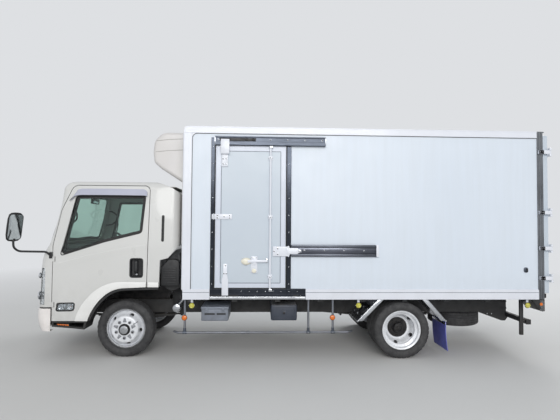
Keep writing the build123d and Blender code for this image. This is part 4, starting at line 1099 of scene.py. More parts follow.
def flare(piece, top, foot):
    """The lip along the wheel arch, swelling towards its foot so that it catches the light; its paint is a
    lighter copy of the cab's, a painted highlight.
    """
    rows = [(-0.02, 13), (0, 15), (0.05, 16.4), (0.35, 18.6), (0.75, 20.2), (0.95, 19.4), (1, 17),
            (1, 6)]
    piece.add(spanned(spaced(top, 48), spaced(foot, 48), rows, wall(piece.side, CAB_SIDE)), FLARE_HIGHLIGHT)


def cab_door(side, name):
    piece = Piece(f"cab_door_{name}_trim", f"cab_door_{name}_body", side)
    door_seal(piece)
    visor(piece)
    door_handle(piece)
    side_lamp(piece)
    door_lining(piece)
    flare(piece, drawn((-572, 449), ((-530, 575), (-454, 690)), ((-290, 842), (2, 912)), (254, 908)),
          drawn((-427, 449), ((-329, 645), (-227, 753)), ((-120, 815), (3, 838)), (254, 849)))
    crease = [(-90, -0.5), (-40, 1.6), (-8, 3.4), (0, 3.6), (7, 1.4), (10, -0.5)]
    piece.band(PAINT, drawn((-800, 1120), ((-248, 1268), (250, 1352))), crease, on_side(side), closed=False)
    piece.done()


def screen_seals():
    """The windscreen's rubber with its black edge, and the rear window's rubber."""
    piece = Piece("cab_glass_seals", "cab")
    screen = divided(rounded([(-760, 1372), (760, 1372), (722, 2004), (-722, 2004)], 66, 6), 60)
    rubber = [(13, 0.4), (13, 2), (9, 4), (2, 3.4), (-1, -1), (-4, -5.4), (-34, -5.6)]
    piece.band(SEAL, screen, rubber, on_front)
    rear_rubber = [(12, 0.3), (12, 2.5), (8, 4), (1, 3.4), (-2, -2), (-5, -5.4), (-22, -5.6)]
    piece.band(SEAL, rounded(square(-520, 520, 1480, 1860), 56, 6), rear_rubber, end_wall(632))
    piece.done()


def wipers():
    """Two arms with blades parked along the foot of the screen."""
    piece = Piece("wipers", "cab")
    foot = 1352
    steps = 14
    outward = Vector((-0.97, 0, 0.26))
    for pivot, tip in ((-520, 90), (80, 700)):
        base = on_front(pivot, foot, 2)
        piece.disc(PLASTIC, base, 17, 20, 4, 28, outward)
        knee = on_front(pivot + (tip - pivot) * 0.25, foot + 24, 26)
        elbow = on_front(pivot + (tip - pivot) * 0.55, foot + 52, 24)
        piece.bar(PLASTIC, [base + outward * 14 * MM, knee], 8, 10)
        piece.bar(PLASTIC, [knee, elbow], 4.5, 10)
        blade, lip = [[on_front(pivot + 60 + (tip - pivot - 20) * i / steps,
                                foot + 44 + 14 * math.sin(math.pi * i / steps), proud)
                       for i in range(steps + 1)] for proud in (12, 4)]
        piece.bar(PLASTIC, blade, 5, 8)
        piece.bar(SEAL, lip, 3.2, 6)
        for i in (2, 7, 11):
            piece.bar(PLASTIC, [blade[i], lip[i]], 4, 8)
        piece.bar(PLASTIC, [elbow, blade[steps // 2]], 4.5, 10)
    piece.done()


def grille():
    """Black frames behind the front panel's slots, with upright and level bars over a dark sheet that is
    painted shade.
    """
    piece = Piece("grille", "cab")
    middle = 930
    for z in (866, 922, 978):
        outline = divided(rounded(square(-430, 430, z, z + 34), 16, 5), 70)
        piece.band(PLASTIC, outline, [(6, 0.3), (6, 2), (2, 3), (-2, 1), (-3, -40)], on_front)
    for y in range(-420, 421, 30):
        x = front_x(y, middle)
        piece.box(PLASTIC, x + 26, x + 40, y - 3, y + 3, 862, 1016, 1)
    for z in (876, 890, 932, 946, 988, 1002):
        piece.bar(PLASTIC, [on_front(y, z, -30) for y in range(-424, 425, 53)], 3, 6)
    # The dark sheet behind the bars stands in for the shade behind the grille.
    back = bmesh.new()
    strips(back, [[back.verts.new(at(front_x(y, middle) + 46, y, z)) for z in (850, 1030)]
                  for y in range(-440, 441, 40)])
    piece.add(back, SEAL)
    piece.done()


def headlamp(side, name):
    """One headlamp's round reflectors and bulbs, behind its clear cover."""
    piece = Piece(f"headlamp_{name}", "cab", side)
    for y, z, r in ((660, 745, 62), (805, 745, 46), (830, 985, 30)):
        place = (front_x(y, z) + 30, y, z)
        bowl = [(0, 2), (r * 0.3, 3), (r * 0.65, 9), (r * 0.9, 18), (r, 24), (r + 3, 25), (r + 3, 18)]
        piece.turn(CHROME, bowl, place, 40, AHEAD)
        piece.turn(CHROME, [(10, 2), (11, 12), (8, 18), (0, 20)], place, 24, AHEAD)
    piece.done()


def bumper_trim():
    """Lower grille bars, two fog lamps, a blank plate and its holder, and the tow-eye cover."""
    piece = Piece("front_bumper_trim", "root")
    slot = rounded(square(-250, 250, 380, 450), 24, 5)
    piece.band(PLASTIC, slot, [(7, 0.3), (7, 2.5), (2, 3.5), (-2, 1), (-3, -14)], on_bumper)
    for z in (398, 416, 434):
        piece.bar(PLASTIC, [on_bumper(y, z, -12) for y in range(-246, 247, 41)], 4, 8)
    plate = rounded(square(-166, 166, 476, 574), 8, 3)
    piece.band(PLASTIC, plate, [(3, 0.3), (3, 3), (0, 3.6), (-4, 2)], on_bumper)
    piece.face(PLATE, plate, on_bumper, 2, 0.4)
    for y in (-640, 640):
        ring = rounded(square(y - 62, y + 62, 408, 486), 30, 6)
        piece.band(PLASTIC, ring, [(10, 0.3), (10, 3), (3, 4.5), (-4, 2), (-8, -6)], on_bumper)
        piece.face(LENS, ring, on_bumper, 0.6, 5)
        piece.turn(CHROME, [(0, 0), (20, 1), (30, 2.2)], on_bumper(y, 447, 1), 28, AHEAD)
    cover = rounded(square(330, 400, 500, 556), 10, 4)
    piece.band(SEAL, cover, [(1.6, 0.2), (1, 1), (-1, 1), (-2, 0.2)], on_bumper)
    piece.done()


def mirror_housing(piece, place, swing, lean, half_height):
    """A leaf-shaped mirror housing with its glass on the rear face."""
    turn = Matrix.Translation(place) @ Matrix.Rotation(math.radians(swing), 4, "Z")
    turn = turn @ Matrix.Rotation(math.radians(lean), 4, "Y")
    housing = bmesh.new()
    sides = 28
    # Each row: share of the half height, half width, depth
    rows = [(-1, 20, 3), (-0.97, 60, 8), (-0.85, 84, 14), (-0.55, 94, 20), (0, 95, 23), (0.55, 93, 21),
            (0.85, 82, 16), (0.97, 58, 9), (1, 20, 3)]
    rings = []
    for share, half, deep in rows:
        ring = []
        for k in range(sides):
            angle = 2 * math.pi * k / sides
            c, s = math.cos(angle), math.sin(angle)
            x = min(deep * math.copysign(abs(c) ** 0.9, c), deep * 0.55)
            y = half * math.copysign(abs(s) ** 0.75, s)
            ring.append(housing.verts.new(Vector((x, y, share * half_height)) * MM))
        rings.append(ring)
    strips(housing, rings, ring=True)
    housing.faces.new(list(reversed(rings[0])))
    housing.faces.new(rings[-1])
    piece.add(housing, PLASTIC, turn)

    def on_back(y, z, proud):
        return turn @ (Vector((12.5 + proud, y, z)) * MM)

    reach = half_height - 19
    face = rounded(square(-84, 84, -reach, reach), 46, 7)
    piece.face(MIRROR, face, on_back, 0.4, 0.8)
    piece.band(PLASTIC, face, [(5, -1), (5, 1.6), (1, 2.6), (-3, 1.4)], on_back)


def mirrors():
    """The passenger's mirror on its long stay, and the driver's mirror on the right door."""
    left = Piece("mirror_left_set", "cab", LEFT)
    mirror_housing(left, at(-1166, -1095, 1563), -24, 8, 165)
    arm = [(-872, 862, 1227), (-905, 890, 1270), (-1150, 1030, 1283), (-1182, 1078, 1330),
           (-1184, 1082, 1420)]
    left.bar(PLASTIC, arm, 12, 16, 40, 8)
    left.disc(PLASTIC, (-1184, 1082, 1398), 21, 34, 5, 28, UP)
    left.box(PLASTIC, -886, -852, 868, 847, 1190, 1264, 6, 3)
    for z in (1204, 1250):
        left.nut(DARK, (-870, 868, z), 7, 5)
    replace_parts(left.done(), "mirror_left")
    right = Piece("mirror_right_set", "cab_door_right_body")
    mirror_housing(right, at(-720, 1085, 1735), 14, 4, 184)
    upper = [(-770, 838, 1600), (-764, 880, 1622), (-728, 1030, 1650), (-722, 1060, 1660)]
    lower = [(-800, 852, 1250), (-796, 880, 1262), (-732, 1068, 1480), (-726, 1080, 1580)]
    for path in (upper, lower):
        right.bar(PLASTIC, path, 9.5, 16, 40, 8)
        right.disc(PLASTIC, path[-1], 16, 26, 4, 24, UP)
    right.box(PLASTIC, -788, -752, 829, 843, 1572, 1628, 5, 3)
    right.box(PLASTIC, -818, -782, 846, 857, 1220, 1280, 5, 3)
    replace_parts(right.done(), "mirror_right")


# Inside the cab

SEAT_Y = 400
DECK = 1030
SWELL_FRAMES = 20
SWELL_PRESSURE = 3.5
SWELL_CAP = 0.012
CUSHION_VOXEL = 0.011
SEAM_WIDTH = 0.007


def swollen(obj):
    """Let a cloth hull swell from its own pressure, held to a cap on how far a point may move."""
    before = [v.co.copy() for v in obj.data.vertices]
    cloth = obj.modifiers.new("swell", "CLOTH")
    cloth.settings.use_pressure = True
    cloth.settings.uniform_pressure_force = SWELL_PRESSURE
    cloth.settings.effector_weights.gravity = 0
    cloth.settings.quality = 6
    cloth.settings.tension_stiffness = 40
    cloth.settings.compression_stiffness = 40
    cloth.settings.shrink_min = -0.02
    cloth.point_cache.frame_start = 1
    cloth.point_cache.frame_end = SWELL_FRAMES
    for step in range(1, SWELL_FRAMES + 1):
        bpy.context.scene.frame_set(step)
    swelled = obj.evaluated_get(bpy.context.evaluated_depsgraph_get()).to_mesh()
    after = [v.co.copy() for v in swelled.vertices]
    obj.modifiers.remove(cloth)
    bpy.context.scene.frame_set(1)
    for vertex, start, end in zip(obj.data.vertices, before, after):
        move = end - start
        vertex.co = start + move * min(1, SWELL_CAP / max(move.length, 1e-9))


def remeshed(mesh, name):
    obj = meshed(name, mesh)
    first = obj.data
    remesh = obj.modifiers.new("voxels", "REMESH")
    remesh.mode = "VOXEL"
    remesh.voxel_size = CUSHION_VOXEL
    fixed = bpy.data.meshes.new_from_object(obj.evaluated_get(bpy.context.evaluated_depsgraph_get()))
    obj.modifiers.remove(remesh)
    obj.data = fixed
    bpy.data.meshes.remove(first)
    return obj


def subdivided(obj):
    smooth = obj.modifiers.new("smooth", "SUBSURF")
    smooth.levels = 1
    smooth.render_levels = 1
    return obj


def cushion(name, low, high, lean, pivot, seams):
    """One seat cushion: swollen, sewn along its seams, leant about a pivot.

    Each seam is (the axis that it lies across, its place there, its depth); along y it is a pair.
    """
    obj = remeshed(box(low[0], high[0], low[1], high[1], low[2], high[2], 26, 4), name)
    swollen(obj)
    middle = at(*[(a + b) / 2 for a, b in zip(low, high)])
    for vertex in obj.data.vertices:
        co = vertex.co
        for kind, place, depth in seams:
            value = {"y": abs(co.y - middle.y), "x": co.x - AXLE_X, "z": co.z}[kind]
            near = math.exp(-((value - place * MM) / SEAM_WIDTH) ** 2)
            co += (middle - co).normalized() * near * depth * MM
    pivot = at(*pivot)
    turn = Matrix.Rotation(math.radians(lean), 4, "Y")
    obj.data.transform(Matrix.Translation(pivot) @ turn @ Matrix.Translation(-pivot))
    obj.data.materials.append(CLOTH.material)
    obj.data.shade_smooth()
    return subdivided(obj)


def seats():
    """Two seats: cushion, back and headrest each, on a base with a slide and a belt buckle."""
    y = -SEAT_Y
    lower = cushion("seat_cushion_left", (-285, y - 250, DECK + 96), (262, y + 250, 1226), 0, (0, y, 1200),
                    [("y", 150, 9), ("x", -150, 7), ("x", 60, 7)])
    back = cushion("seat_back_left", (176, y - 242, 1250), (292, y + 242, 1778), 13, (230, y, 1250),
                   [("y", 146, 9), ("z", 1430, 7), ("z", 1600, 7)])
    head = cushion("seat_head_left", (352, y - 128, 1792), (436, y + 128, 1948), 6, (390, y, 1790),
                   [("y", 84, 5)])
    made = []
    for obj in (lower, back, head):
        copy = subdivided(added(obj.name.replace("left", "right"), obj.data.copy()))
        copy.data.transform(Matrix.Translation((0, 2 * SEAT_Y * MM, 0)))
        made += [obj, copy]
    for obj in made:
        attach(obj, "cab")
    base = Piece("seat_bases", "cab")
    for side in base.both():
        y = SEAT_Y
        base.box(GREY_DARK, -236, 236, y - 222, y + 222, DECK + 40, DECK + 92, 10, 3)
        base.box(PLASTIC, -250, 250, y - 236, y + 236, DECK + 84, DECK + 100, 6, 2)
        for rail in (y - 170, y + 170):
            base.box(BLACK, -236, 236, rail - 18, rail + 18, DECK + 1, DECK + 30, 3)
            base.box(DARK, -236, 236, rail - 9, rail + 9, DECK + 28, DECK + 42, 2)
        for stem in (y - 52, y + 52):
            base.bar(BRIGHT, [(352, stem, 1752), (384, stem, 1836)], 6, 12)
        inner = y - 262
        base.box(PLASTIC, 150, 190, inner - 12, inner + 12, 1150, 1262, 6, 3)
        base.box(RED, 158, 182, inner - 8, inner + 8, 1256, 1276, 3, 2)
        base.box(GREY_DARK, 60, 200, y + 238, y + 252, 1080, 1140, 8, 3)
    base.box(GREY_DARK, -150, 240, -118, 118, DECK + 2, DECK + 150, 24, 4)
    base.box(GREY, -120, 60, -96, 96, DECK + 140, DECK + 162, 12, 3)
    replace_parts(base.done(), "seats")


def belts():
    """Seat belts from the rear pillars down to their anchors."""
    piece = Piece("seat_belts", "cab")
    steps = 12
    for side in piece.both():
        top = at(330, side * 742, 1800)
        low = at(330, side * 752, 1130)
        made = bmesh.new()
        strips(made, [[made.verts.new(top.lerp(low, i / steps)
                                      + Vector((dx, side * 2 * math.sin(math.pi * i / steps), 0)) * MM)
                       for dx in (-23, -8, 8, 23)] for i in range(steps + 1)])
        piece.add(thickened(evened(made), 1.4), BELT)
        piece.box(PLASTIC, 300, 360, 736, 756, 1786, 1826, 8, 3)
        piece.box(PLASTIC, 300, 360, 740, 770, 1080, 1140, 10, 3)
        piece.disc(PLASTIC, (330, 748, 1810), 12, 14, 3, 20, (0, -side, 0))
    piece.done()


WHEEL_CENTRE = at(-418, 380, 1296)
WHEEL_AXIS = Vector((210, 0, 110)).normalized()


def steering():
    """A four-spoke steering wheel with a horn pad, finger grips and stalks."""
    piece = Piece("steering_wheel_set", "cab")
    side, over = across(WHEEL_AXIS)

    def spot(angle, reach, lift=0):
        """A place round the wheel, in metres."""
        return WHEEL_CENTRE + around(side, over, angle) * reach * MM + WHEEL_AXIS * lift * MM

    steps = 72
    piece.bar(GREY_DARK, [spot(2 * math.pi * k / steps, 190) for k in range(steps)], 14.5, 18, closed=True)
    hub = [(0, -16), (62, -14), (70, -4), (66, 8), (48, 16), (0, 20)]
    piece.turn(PLASTIC, hub, WHEEL_CENTRE, 48, WHEEL_AXIS)
    piece.turn(GREY_DARK, [(30, 19), (32, 20.4), (34, 19)], WHEEL_CENTRE, 48, WHEEL_AXIS)
    for angle in [math.radians(degrees + 90) for degrees in (-25, 25, 155, 205)]:
        piece.bar(GREY_DARK, [spot(angle, 46), spot(angle, 120, -8), spot(angle, 186)], 11, 12, 40)
    start = WHEEL_CENTRE - WHEEL_AXIS * 46 * MM
    for sign in (-1, 1):
        root, grip, end = [start + Vector((0, sign * y, z)) * MM for y, z in ((30, 0), (150, 8), (190, 12))]
        piece.bar(PLASTIC, [root, end], 6, 10)
        piece.bar(PLASTIC, [grip, end + Vector((0, sign * 6, 0)) * MM], 9, 12)
    piece.bar(PLASTIC, [WHEEL_CENTRE - WHEEL_AXIS * 88 * MM, WHEEL_CENTRE - WHEEL_AXIS * 26 * MM], 42, 24)
    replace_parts(piece.done(), "steering_wheel")


def dashboard_fittings():
    """Instrument hood, vents, switch panel, glove-box lid, gear lever, hand brake and pedals."""
    piece = Piece("dashboard_fittings", "cab")
    hood = [(-640, 1300), (-560, 1330), (-520, 1372), (-540, 1388), (-620, 1386), (-720, 1346),
            (-740, 1318)]
    piece.prism(GREY_DARK, hood, 220, 545, 12, 3)
    facing = Vector((0.9, 0, 0.42)).normalized()
    for y, r in ((300, 46), (384, 34), (462, 46)):
        centre = at(-534, y, 1352)
        piece.turn(PLASTIC, [(0, -8), (r - 6, -8), (r - 3, 0), (r, 1), (r, -6)], centre, 36, facing)
        piece.turn(DIAL, [(0, -6.5), (r - 7, -6.5)], centre, 36, facing)
        needle = centre + facing * -5 * MM
        piece.bar(RED, [needle, needle + Vector((0, -0.6, 0.8)).normalized() * (r - 12) * MM], 1.2, 6)
    for y in (-560, -60, 110, 640):
        piece.box(PLASTIC, -562, -536, y - 62, y + 62, 1218, 1282, 8, 3)
        for z in range(1226, 1271, 11):
            piece.box(GREY_DARK, -540, -528, y - 52, y + 52, z, z + 4, 1)
    piece.box(PLASTIC, -586, -556, -70, 130, 1080, 1205, 8, 3)
    piece.box(DIAL, -562, -550, -52, 112, 1150, 1195, 3)
    for y in (-30, 30, 90):
        piece.disc(GREY_DARK, (-558, y, 1110), 17, 16, 3, 28, ALONG)
    lid = rounded(square(-620, -180, 1060, 1180), 18, 4)
    piece.band(SEAL, lid, [(3, -2), (2, 1.5), (-2, 1.5), (-3, -2)],
               lambda y, z, proud: at(-748 + (z - 1080) * 1.66 + proud, y, z))
    piece.box(PLASTIC, -560, -540, -430, -370, 1168, 1184, 4)
    piece.bar(PLASTIC, [(-330, 70, DECK - 20), (-352, 72, 1180), (-372, 78, 1250)], 7, 16, 40, 8)
    knob = [(0, -22), (14, -20), (22, -6), (24, 8), (18, 22), (0, 26)]
    piece.turn(PLASTIC, knob, (-374, 78, 1270), 24, UP)
    boot = [(74, 0), (66, 12), (52, 16), (50, 30), (38, 34), (36, 50), (24, 54), (22, 74), (10, 78)]
    piece.turn(SEAL, boot, (-332, 70, DECK - 5), 32, UP)
    piece.bar(PLASTIC, [(-300, 170, DECK), (-320, 170, 1110), (-400, 170, 1160)], 11, 16, 30, 8)
    for y, z in ((250, 900), (350, 905), (470, 890)):
        piece.box(SEAL, -700, -686, y - 34, y + 34, z - 30, z + 30, 5, 2)
        piece.bar(BLACK, [(-694, y, z), (-745, y, z + 130)], 8, 10)
    piece.done()


def cab_interior():
    """Grab handles, centre mirror, sun visors, roof lining, floor mat and rear trim."""
    piece = Piece("cab_interior", "cab")
    for side in piece.both():
        grab = [(-812, 742, 1580), (-700, 738, 1592), (-622, 736, 1655), (-622, 736, 1735),
                (-690, 738, 1790), (-775, 740, 1800)]
        piece.bar(PLASTIC, grab, 10, 14, 30)
        shade = box(-716, -560, side * 60, side * 690, 2040, 2054, 6, 3)
        piece.add(tilted(shade, -8, -700, 2047), LINING)
        roof_grab = [(-420, 690, 2052), (-400, 690, 2022), (-230, 690, 2022), (-210, 690, 2052)]
        piece.bar(PLASTIC, roof_grab, 9, 12, 20, 5)
    piece.bar(PLASTIC, [(-706, 0, 2040), (-704, 0, 2000), (-690, 0, 1968)], 7, 12, 20, 5)
    piece.box(PLASTIC, -704, -670, -118, 118, 1876, 1984, 14, 4)
    piece.box(MIRROR, -671, -668.5, -108, 108, 1886, 1974, 1.2, 2)
    for side in piece.both():
        piece.box(SEAL, -780, -345, 110, 770, 801, 806, 2)
    for x in range(-760, -391, 46):
        for side in piece.both():
            piece.box(SEAL, x, x + 14, 130, 750, 805, 809, 1)
    piece.box(LINING, -180, 560, -690, 690, 2064, 2072, 3)
    piece.box(LINING, 572, 585, -700, 700, 1385, 1470, 4)
    piece.done()


# The box body

WALL_LINE = 5024
LOWER_RAIL = BOX_SIDE + 16
MOULDING = BOX_SIDE + 8
FRAME_FACE = BOX_SIDE + 6
REAR_HINGES = (980, 1342, 1781, 2523)
PIN_X = 5175
PIN_Y = 983
SILL_FRONT = 1030
SILL_REAR = 2163


def body_mouldings(side, name):
    """Seams, beads and rivets of the corner post and of the rails above and below."""
    piece = Piece(f"body_mouldings_{name}", "root", side)
    rail = wall(side, MOULDING)
    skin = wall(side, BOX_SIDE)
    low = wall(side, LOWER_RAIL)
    bend = drawn((800, 2636), ((818, 2679), (861, 2697)))
    piece.bead(SEAL, [(800, 838)] + bend + [(WALL_LINE, 2697)], skin, 3, 9)
    piece.prism(TRIM, bend + [(800, 2697)], BOX_SIDE - 1, MOULDING)
    piece.bead(TRIM, [(792, 840), (792, 2696)], rail)
    piece.bead(TRIM, [(756, 840), (756, 2696)], rail, 2.4, 1.8)
    piece.bead(TRIM, [(BOX_FRONT + 4, 2706), (WALL_LINE, 2706)], rail)
    front = BOX_FRONT - 4
    crown = drawn((front, 2706), (front, 2738), ((front + 11, 2763), (front + 38, 2774)), (WALL_LINE, 2774),
                  steps=10)
    piece.bead(TRIM, crown, rail, 3, 2.6)
    piece.studs(TRIM, [(BOX_FRONT + 90 + 210 * i, MOULDING, 2740) for i in range(21)])
    piece.studs(TRIM, [(774, MOULDING, 890 + 198 * i) for i in range(10)])
    piece.studs(TRIM, [(BOX_FRONT - 20, 905, 890 + 198 * i) for i in range(10)], AHEAD)
    stretches = [(BOX_FRONT, 1026), (2167, WALL_LINE)] if side == LEFT else [(BOX_FRONT, WALL_LINE)]
    for x0, x1 in stretches:
        for finish, z, face, half, proud in ((CASE, 803, low, 3, 1.6), (TRIM, 726, low, 4, 3),
                                             (TRIM, 837, skin, 6, 10)):
            piece.bead(finish, [(x0 + 2, z), (x1 - 2, z)], face, half, proud)
        count = max(3, round((x1 - x0) / 230))
        pitch = (x1 - x0 - 80) / (count - 1)
        piece.studs(TRIM, [(x0 + 40 + pitch * i, LOWER_RAIL, 768) for i in range(count)], radius=5.5)
    piece.done()


def doorway_details():
    """The side doorway's rubber, its posts' folds and bolts, the sill's bright lip and drain slots."""
    piece = Piece("side_doorway_trim", "root", LEFT)
    face = wall(LEFT, FRAME_FACE)
    opening = rounded(square(1078, 1929, 852, 2558), 16, 4)
    piece.band(SEAL, opening, [(8, 0.2), (7, 4), (0, 6.5), (-4, 4.5), (-5, -6)], face)
    for x in (1031, 1066, 1941, 1985):
        piece.bead(STEEL, [(x, 758), (x, 2646)], face, 3.5, 3)
    piece.bead(STEEL, [(SILL_FRONT, 2645), (1986, 2645)], face, 3, 2.6)
    piece.bolts([(x, 900 + 205 * i) for x in (1048, 1963) for i in range(9)], FRAME_FACE, 4.5)
    lip = [(-16, 0.1), (-15, 1.8), (-9, 3), (9, 3), (15, 1.8), (16, 0.1)]
    piece.band(BRIGHT, [(SILL_FRONT, 737), (SILL_REAR, 737)], lip, wall(LEFT, LOWER_RAIL), closed=False)
    for x0, x1 in ((1034, 1190), (1206, 1362), (2020, 2080)):
        slot = rounded(square(x0, x1, 759, 771), 6, 4)
        # A black sheet in each drain slot stands in for the shade inside it.
        piece.face(SEAL, slot, face, 0.6, 0.2)
        piece.band(STEEL_LONG, slot, [(3, 0.1), (2, 1.6), (0, 1.6), (0, 0.5)], face)
    for z in (783, 842):
        piece.bead(STEEL_LONG, [(SILL_FRONT, z), (SILL_REAR, z)], face, 3, 2.4)
    piece.bolts([(1400 + 95 * i, 812) for i in range(8)], FRAME_FACE, 4.5)
    piece.done()
    door = Piece("side_door_trim", "root", LEFT)
    leaf = wall(LEFT, DOOR_FACE)
    inner = rounded(square(1152, 1859, 916, 2484), 4, 2)
    # The grey band round the inner panel is painted shade in the groove between panel and border.
    door.band(CASE, inner, [(6, 0.1), (5, 1.8), (0, 2.4), (-1.5, 1), (-2, -1.8)], leaf)
    outer = rounded(square(1087, 1920, 861, 2549), 8, 3)
    door.band(LEAF_EDGE, outer, [(0, 0.1), (-1, 2), (-7, 2.6), (-9, 0.1)], leaf)
    door.face(DOOR, inner, leaf, -1.7, 0.3)
    door.studs(TRIM, [(x, DOOR_FACE, 905 + 205 * i) for x in (1118, 1892) for i in range(9)], radius=4.5)
    door.done()


def rail_channels(piece):
    """The sliding door's rails: a C channel over the doorway and a folded one along the wall."""
    section = [(0, 2555), (0, 2660), (44, 2660), (46, 2657), (46, 2649), (42, 2646), (31, 2646), (31, 2598),
               (42, 2596), (46, 2593), (46, 2558), (43, 2555)]
    near, far = [[piece.at((x, FRAME_FACE + out, z)) for out, z in section] for x in (1075, 2395)]
    piece.add(extruded(near, far), PALE_STEEL)
    y = FRAME_FACE + 31
    piece.bolts([(1110 + 208 * i, 2621) for i in range(7)], y)
    piece.plate(BLACK, square(1128, 1560, 2604, 2640), y + 0.3, y + 6, 4)
    for x in (1160, 1240, 1450, 1530):
        piece.disc(SEAL, (x, y + 5, 2622), 15, 9, 3, 24)
    for x in (1074, 2396):
        piece.box(BRIGHT, x - 4, x + 4, FRAME_FACE, FRAME_FACE + 46, 2553, 2661, 2)
    y = BOX_SIDE
    piece.box(RAIL_STEEL, 1992, 3047, y + 0.2, y + 12, 1234, 1367, 1)
    for z0, z1 in ((1230, 1262), (1338, 1371)):
        middle = (z0 + z1) / 2
        piece.box(RAIL_STEEL, 1990, 3047, y + 8, y + 34, z0, z1, 5, 3)
        piece.box(STEEL_LONG, 1996, 3040, y + 33, y + 35, middle - 2, middle + 2, 0.8)
    piece.box(STEEL_LONG, 1994, 3043, y + 11, y + 15, 1264, 1336, 1)
    piece.box(TRIM, 3015, 3049, y + 2, y + 36, 1229, 1372, 4, 3)
    piece.bolts([(2150 + 240 * i, 1300) for i in range(4)], y + 15)


def door_brackets(piece):
    """The white carriage and the three brackets that hold the leaf, with their rollers and bolts."""
    face = DOOR_FACE
    carriage = [(1771, 1233), (1960, 1233), (1980, 1262), (1980, 1320), (1960, 1350), (1771, 1350)]
    arm = [(1940, 1262), (2064, 1262), (2074, 1272), (2112, 1284), (2112, 1310), (2074, 1322), (2064, 1332),
           (1940, 1332)]
    piece.plate(TRIM, carriage, face + 0.3, face + 17, 8, 2)
    piece.plate(TRIM, arm, face + 10, face + 27, 6, 2)
    piece.bolts([(1828, 1260), (1828, 1324), (1786, 1292)], face + 17)
    piece.plate(TRIM, square(1948, 1966, 1228, 1356), face + 1, face + 23, 4, 2)
    piece.disc(BRIGHT, (2092, face + 25, 1297), 17, 10, 4)
    hanger = drawn((1150, 2299), (1228, 2299), (1228, 2440), ((1234, 2490), (1245, 2510)), (1245, 2550),
                   (1132, 2550), (1132, 2510), ((1146, 2490), (1150, 2440)), steps=6)
    foot = drawn((1170, 768), (1246, 768), (1246, 955), ((1236, 990), (1231, 1030)), (1231, 1141),
                 (1185, 1141), (1185, 1030), ((1180, 990), (1170, 955)), steps=6)
    for shape in (hanger, foot):
        piece.plate(TRIM, shape, face + 0.3, face + 13, 4)
    piece.plate(TRIM, square(1143, 1245, 2448, 2624), FRAME_FACE + 46.5, FRAME_FACE + 51, 5)
    piece.box(TRIM, 1150, 1238, face + 12, FRAME_FACE + 48, 2450, 2468, 3)
    piece.bolts([(x, z) for x in (1170, 1208) for z in (2330, 2390)], face + 13)
    piece.bolts([(1214, 1122), (1194, 1028), (1224, 1028)], face + 13)
    piece.plate(TRIM, square(1071, 1283, 1669, 1732), face + 0.3, face + 9, 8)
    piece.plate(TRIM, square(1042, 1073, 1671, 1730), FRAME_FACE + 0.3, face + 6, 4)
    piece.bar(BRIGHT, [(1066, face + 7, 1664), (1066, face + 7, 1737)], 8)
    piece.bolts([(1110, 1686), (1110, 1715), (1190, 1700), (1256, 1686), (1256, 1715)], face + 9)


def door_lock(piece):
    """The white lock rod in its clamps, with a cam at each end, and the cream handle."""
    face = DOOR_FACE
    rod_x = 1738
    piece.bar(TRIM, [(rod_x, face + 26, 823), (rod_x, face + 26, 2548)], 11.5, 24)
    for z in (2405, 1699, 990):
        piece.plate(TRIM, square(1712, 1764, z - 27, z + 27), face - 1.6, face + 5)
        piece.plate(TRIM, square(1719, 1757, z - 18, z + 18), face + 4, face + 41, 5, 2.5)
        piece.bolts([(rod_x, z)], face + 41, 6)
        piece.bolts([(1716, z), (1760, z)], face + 5, 3.5)
    for z in (2534, 832):
        cam = [(1724, z - 14), (1760, z - 14), (1768, z), (1760, z + 14), (1724, z + 14)]
        piece.plate(BRIGHT, cam, face + 14, face + 38, 5, 2)
    piece.plate(TRIM, square(1510, 1590, 1034, 1231), face - 1.6, face + 10, 12, 3)
    piece.bolts([(x, z) for x in (1526, 1574) for z in (1050, 1215)], face + 10, 5)
    piece.plate(TRIM, square(1528, 1572, 1130, 1204), face + 9, face + 22, 8, 3)
    hub = [(0, 0), (42, 0), (44, 8), (42, 18), (36, 26), (26, 32), (14, 35), (0, 36)]
    knob = turned(hub, piece.at((1456, face - 1.6, 1172)), piece.out(), 48)
    piece.add(widened(knob, 1456, 1.38), CREAM)
    lever = drawn((1470, 1158), (1690, 1164), ((1708, 1170), (1712, 1178)), ((1708, 1186), (1690, 1190)),
                  (1470, 1190), steps=6)
    piece.plate(TRIM, lever, face + 20, face + 33, 6, 4)
    piece.plate(BRIGHT, square(1688, 1708, 1158, 1206), face + 8, face + 26, 4, 2)
    piece.disc(CREAM, (1550, face + 21, 1062), 26, 10, 5)


def door_gear():
    piece = Piece("side_door_gear_set", "root", LEFT)
    rail_channels(piece)
    door_brackets(piece)
    door_lock(piece)
    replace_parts(piece.done(), "side_door_gear")
    hook = Piece("wall_hook", "root", LEFT)
    y = BOX_SIDE
    hook.plate(PALE_STEEL, square(4844, 4900, 1044, 1108), y + 0.2, y + 5, 24)
    hook.bar(DARK, [(4874, y + 4, 1090), (4874, y + 26, 1086), (4874, y + 30, 1062), (4874, y + 16, 1052)],
             7, 14, 12)
    hook.done()


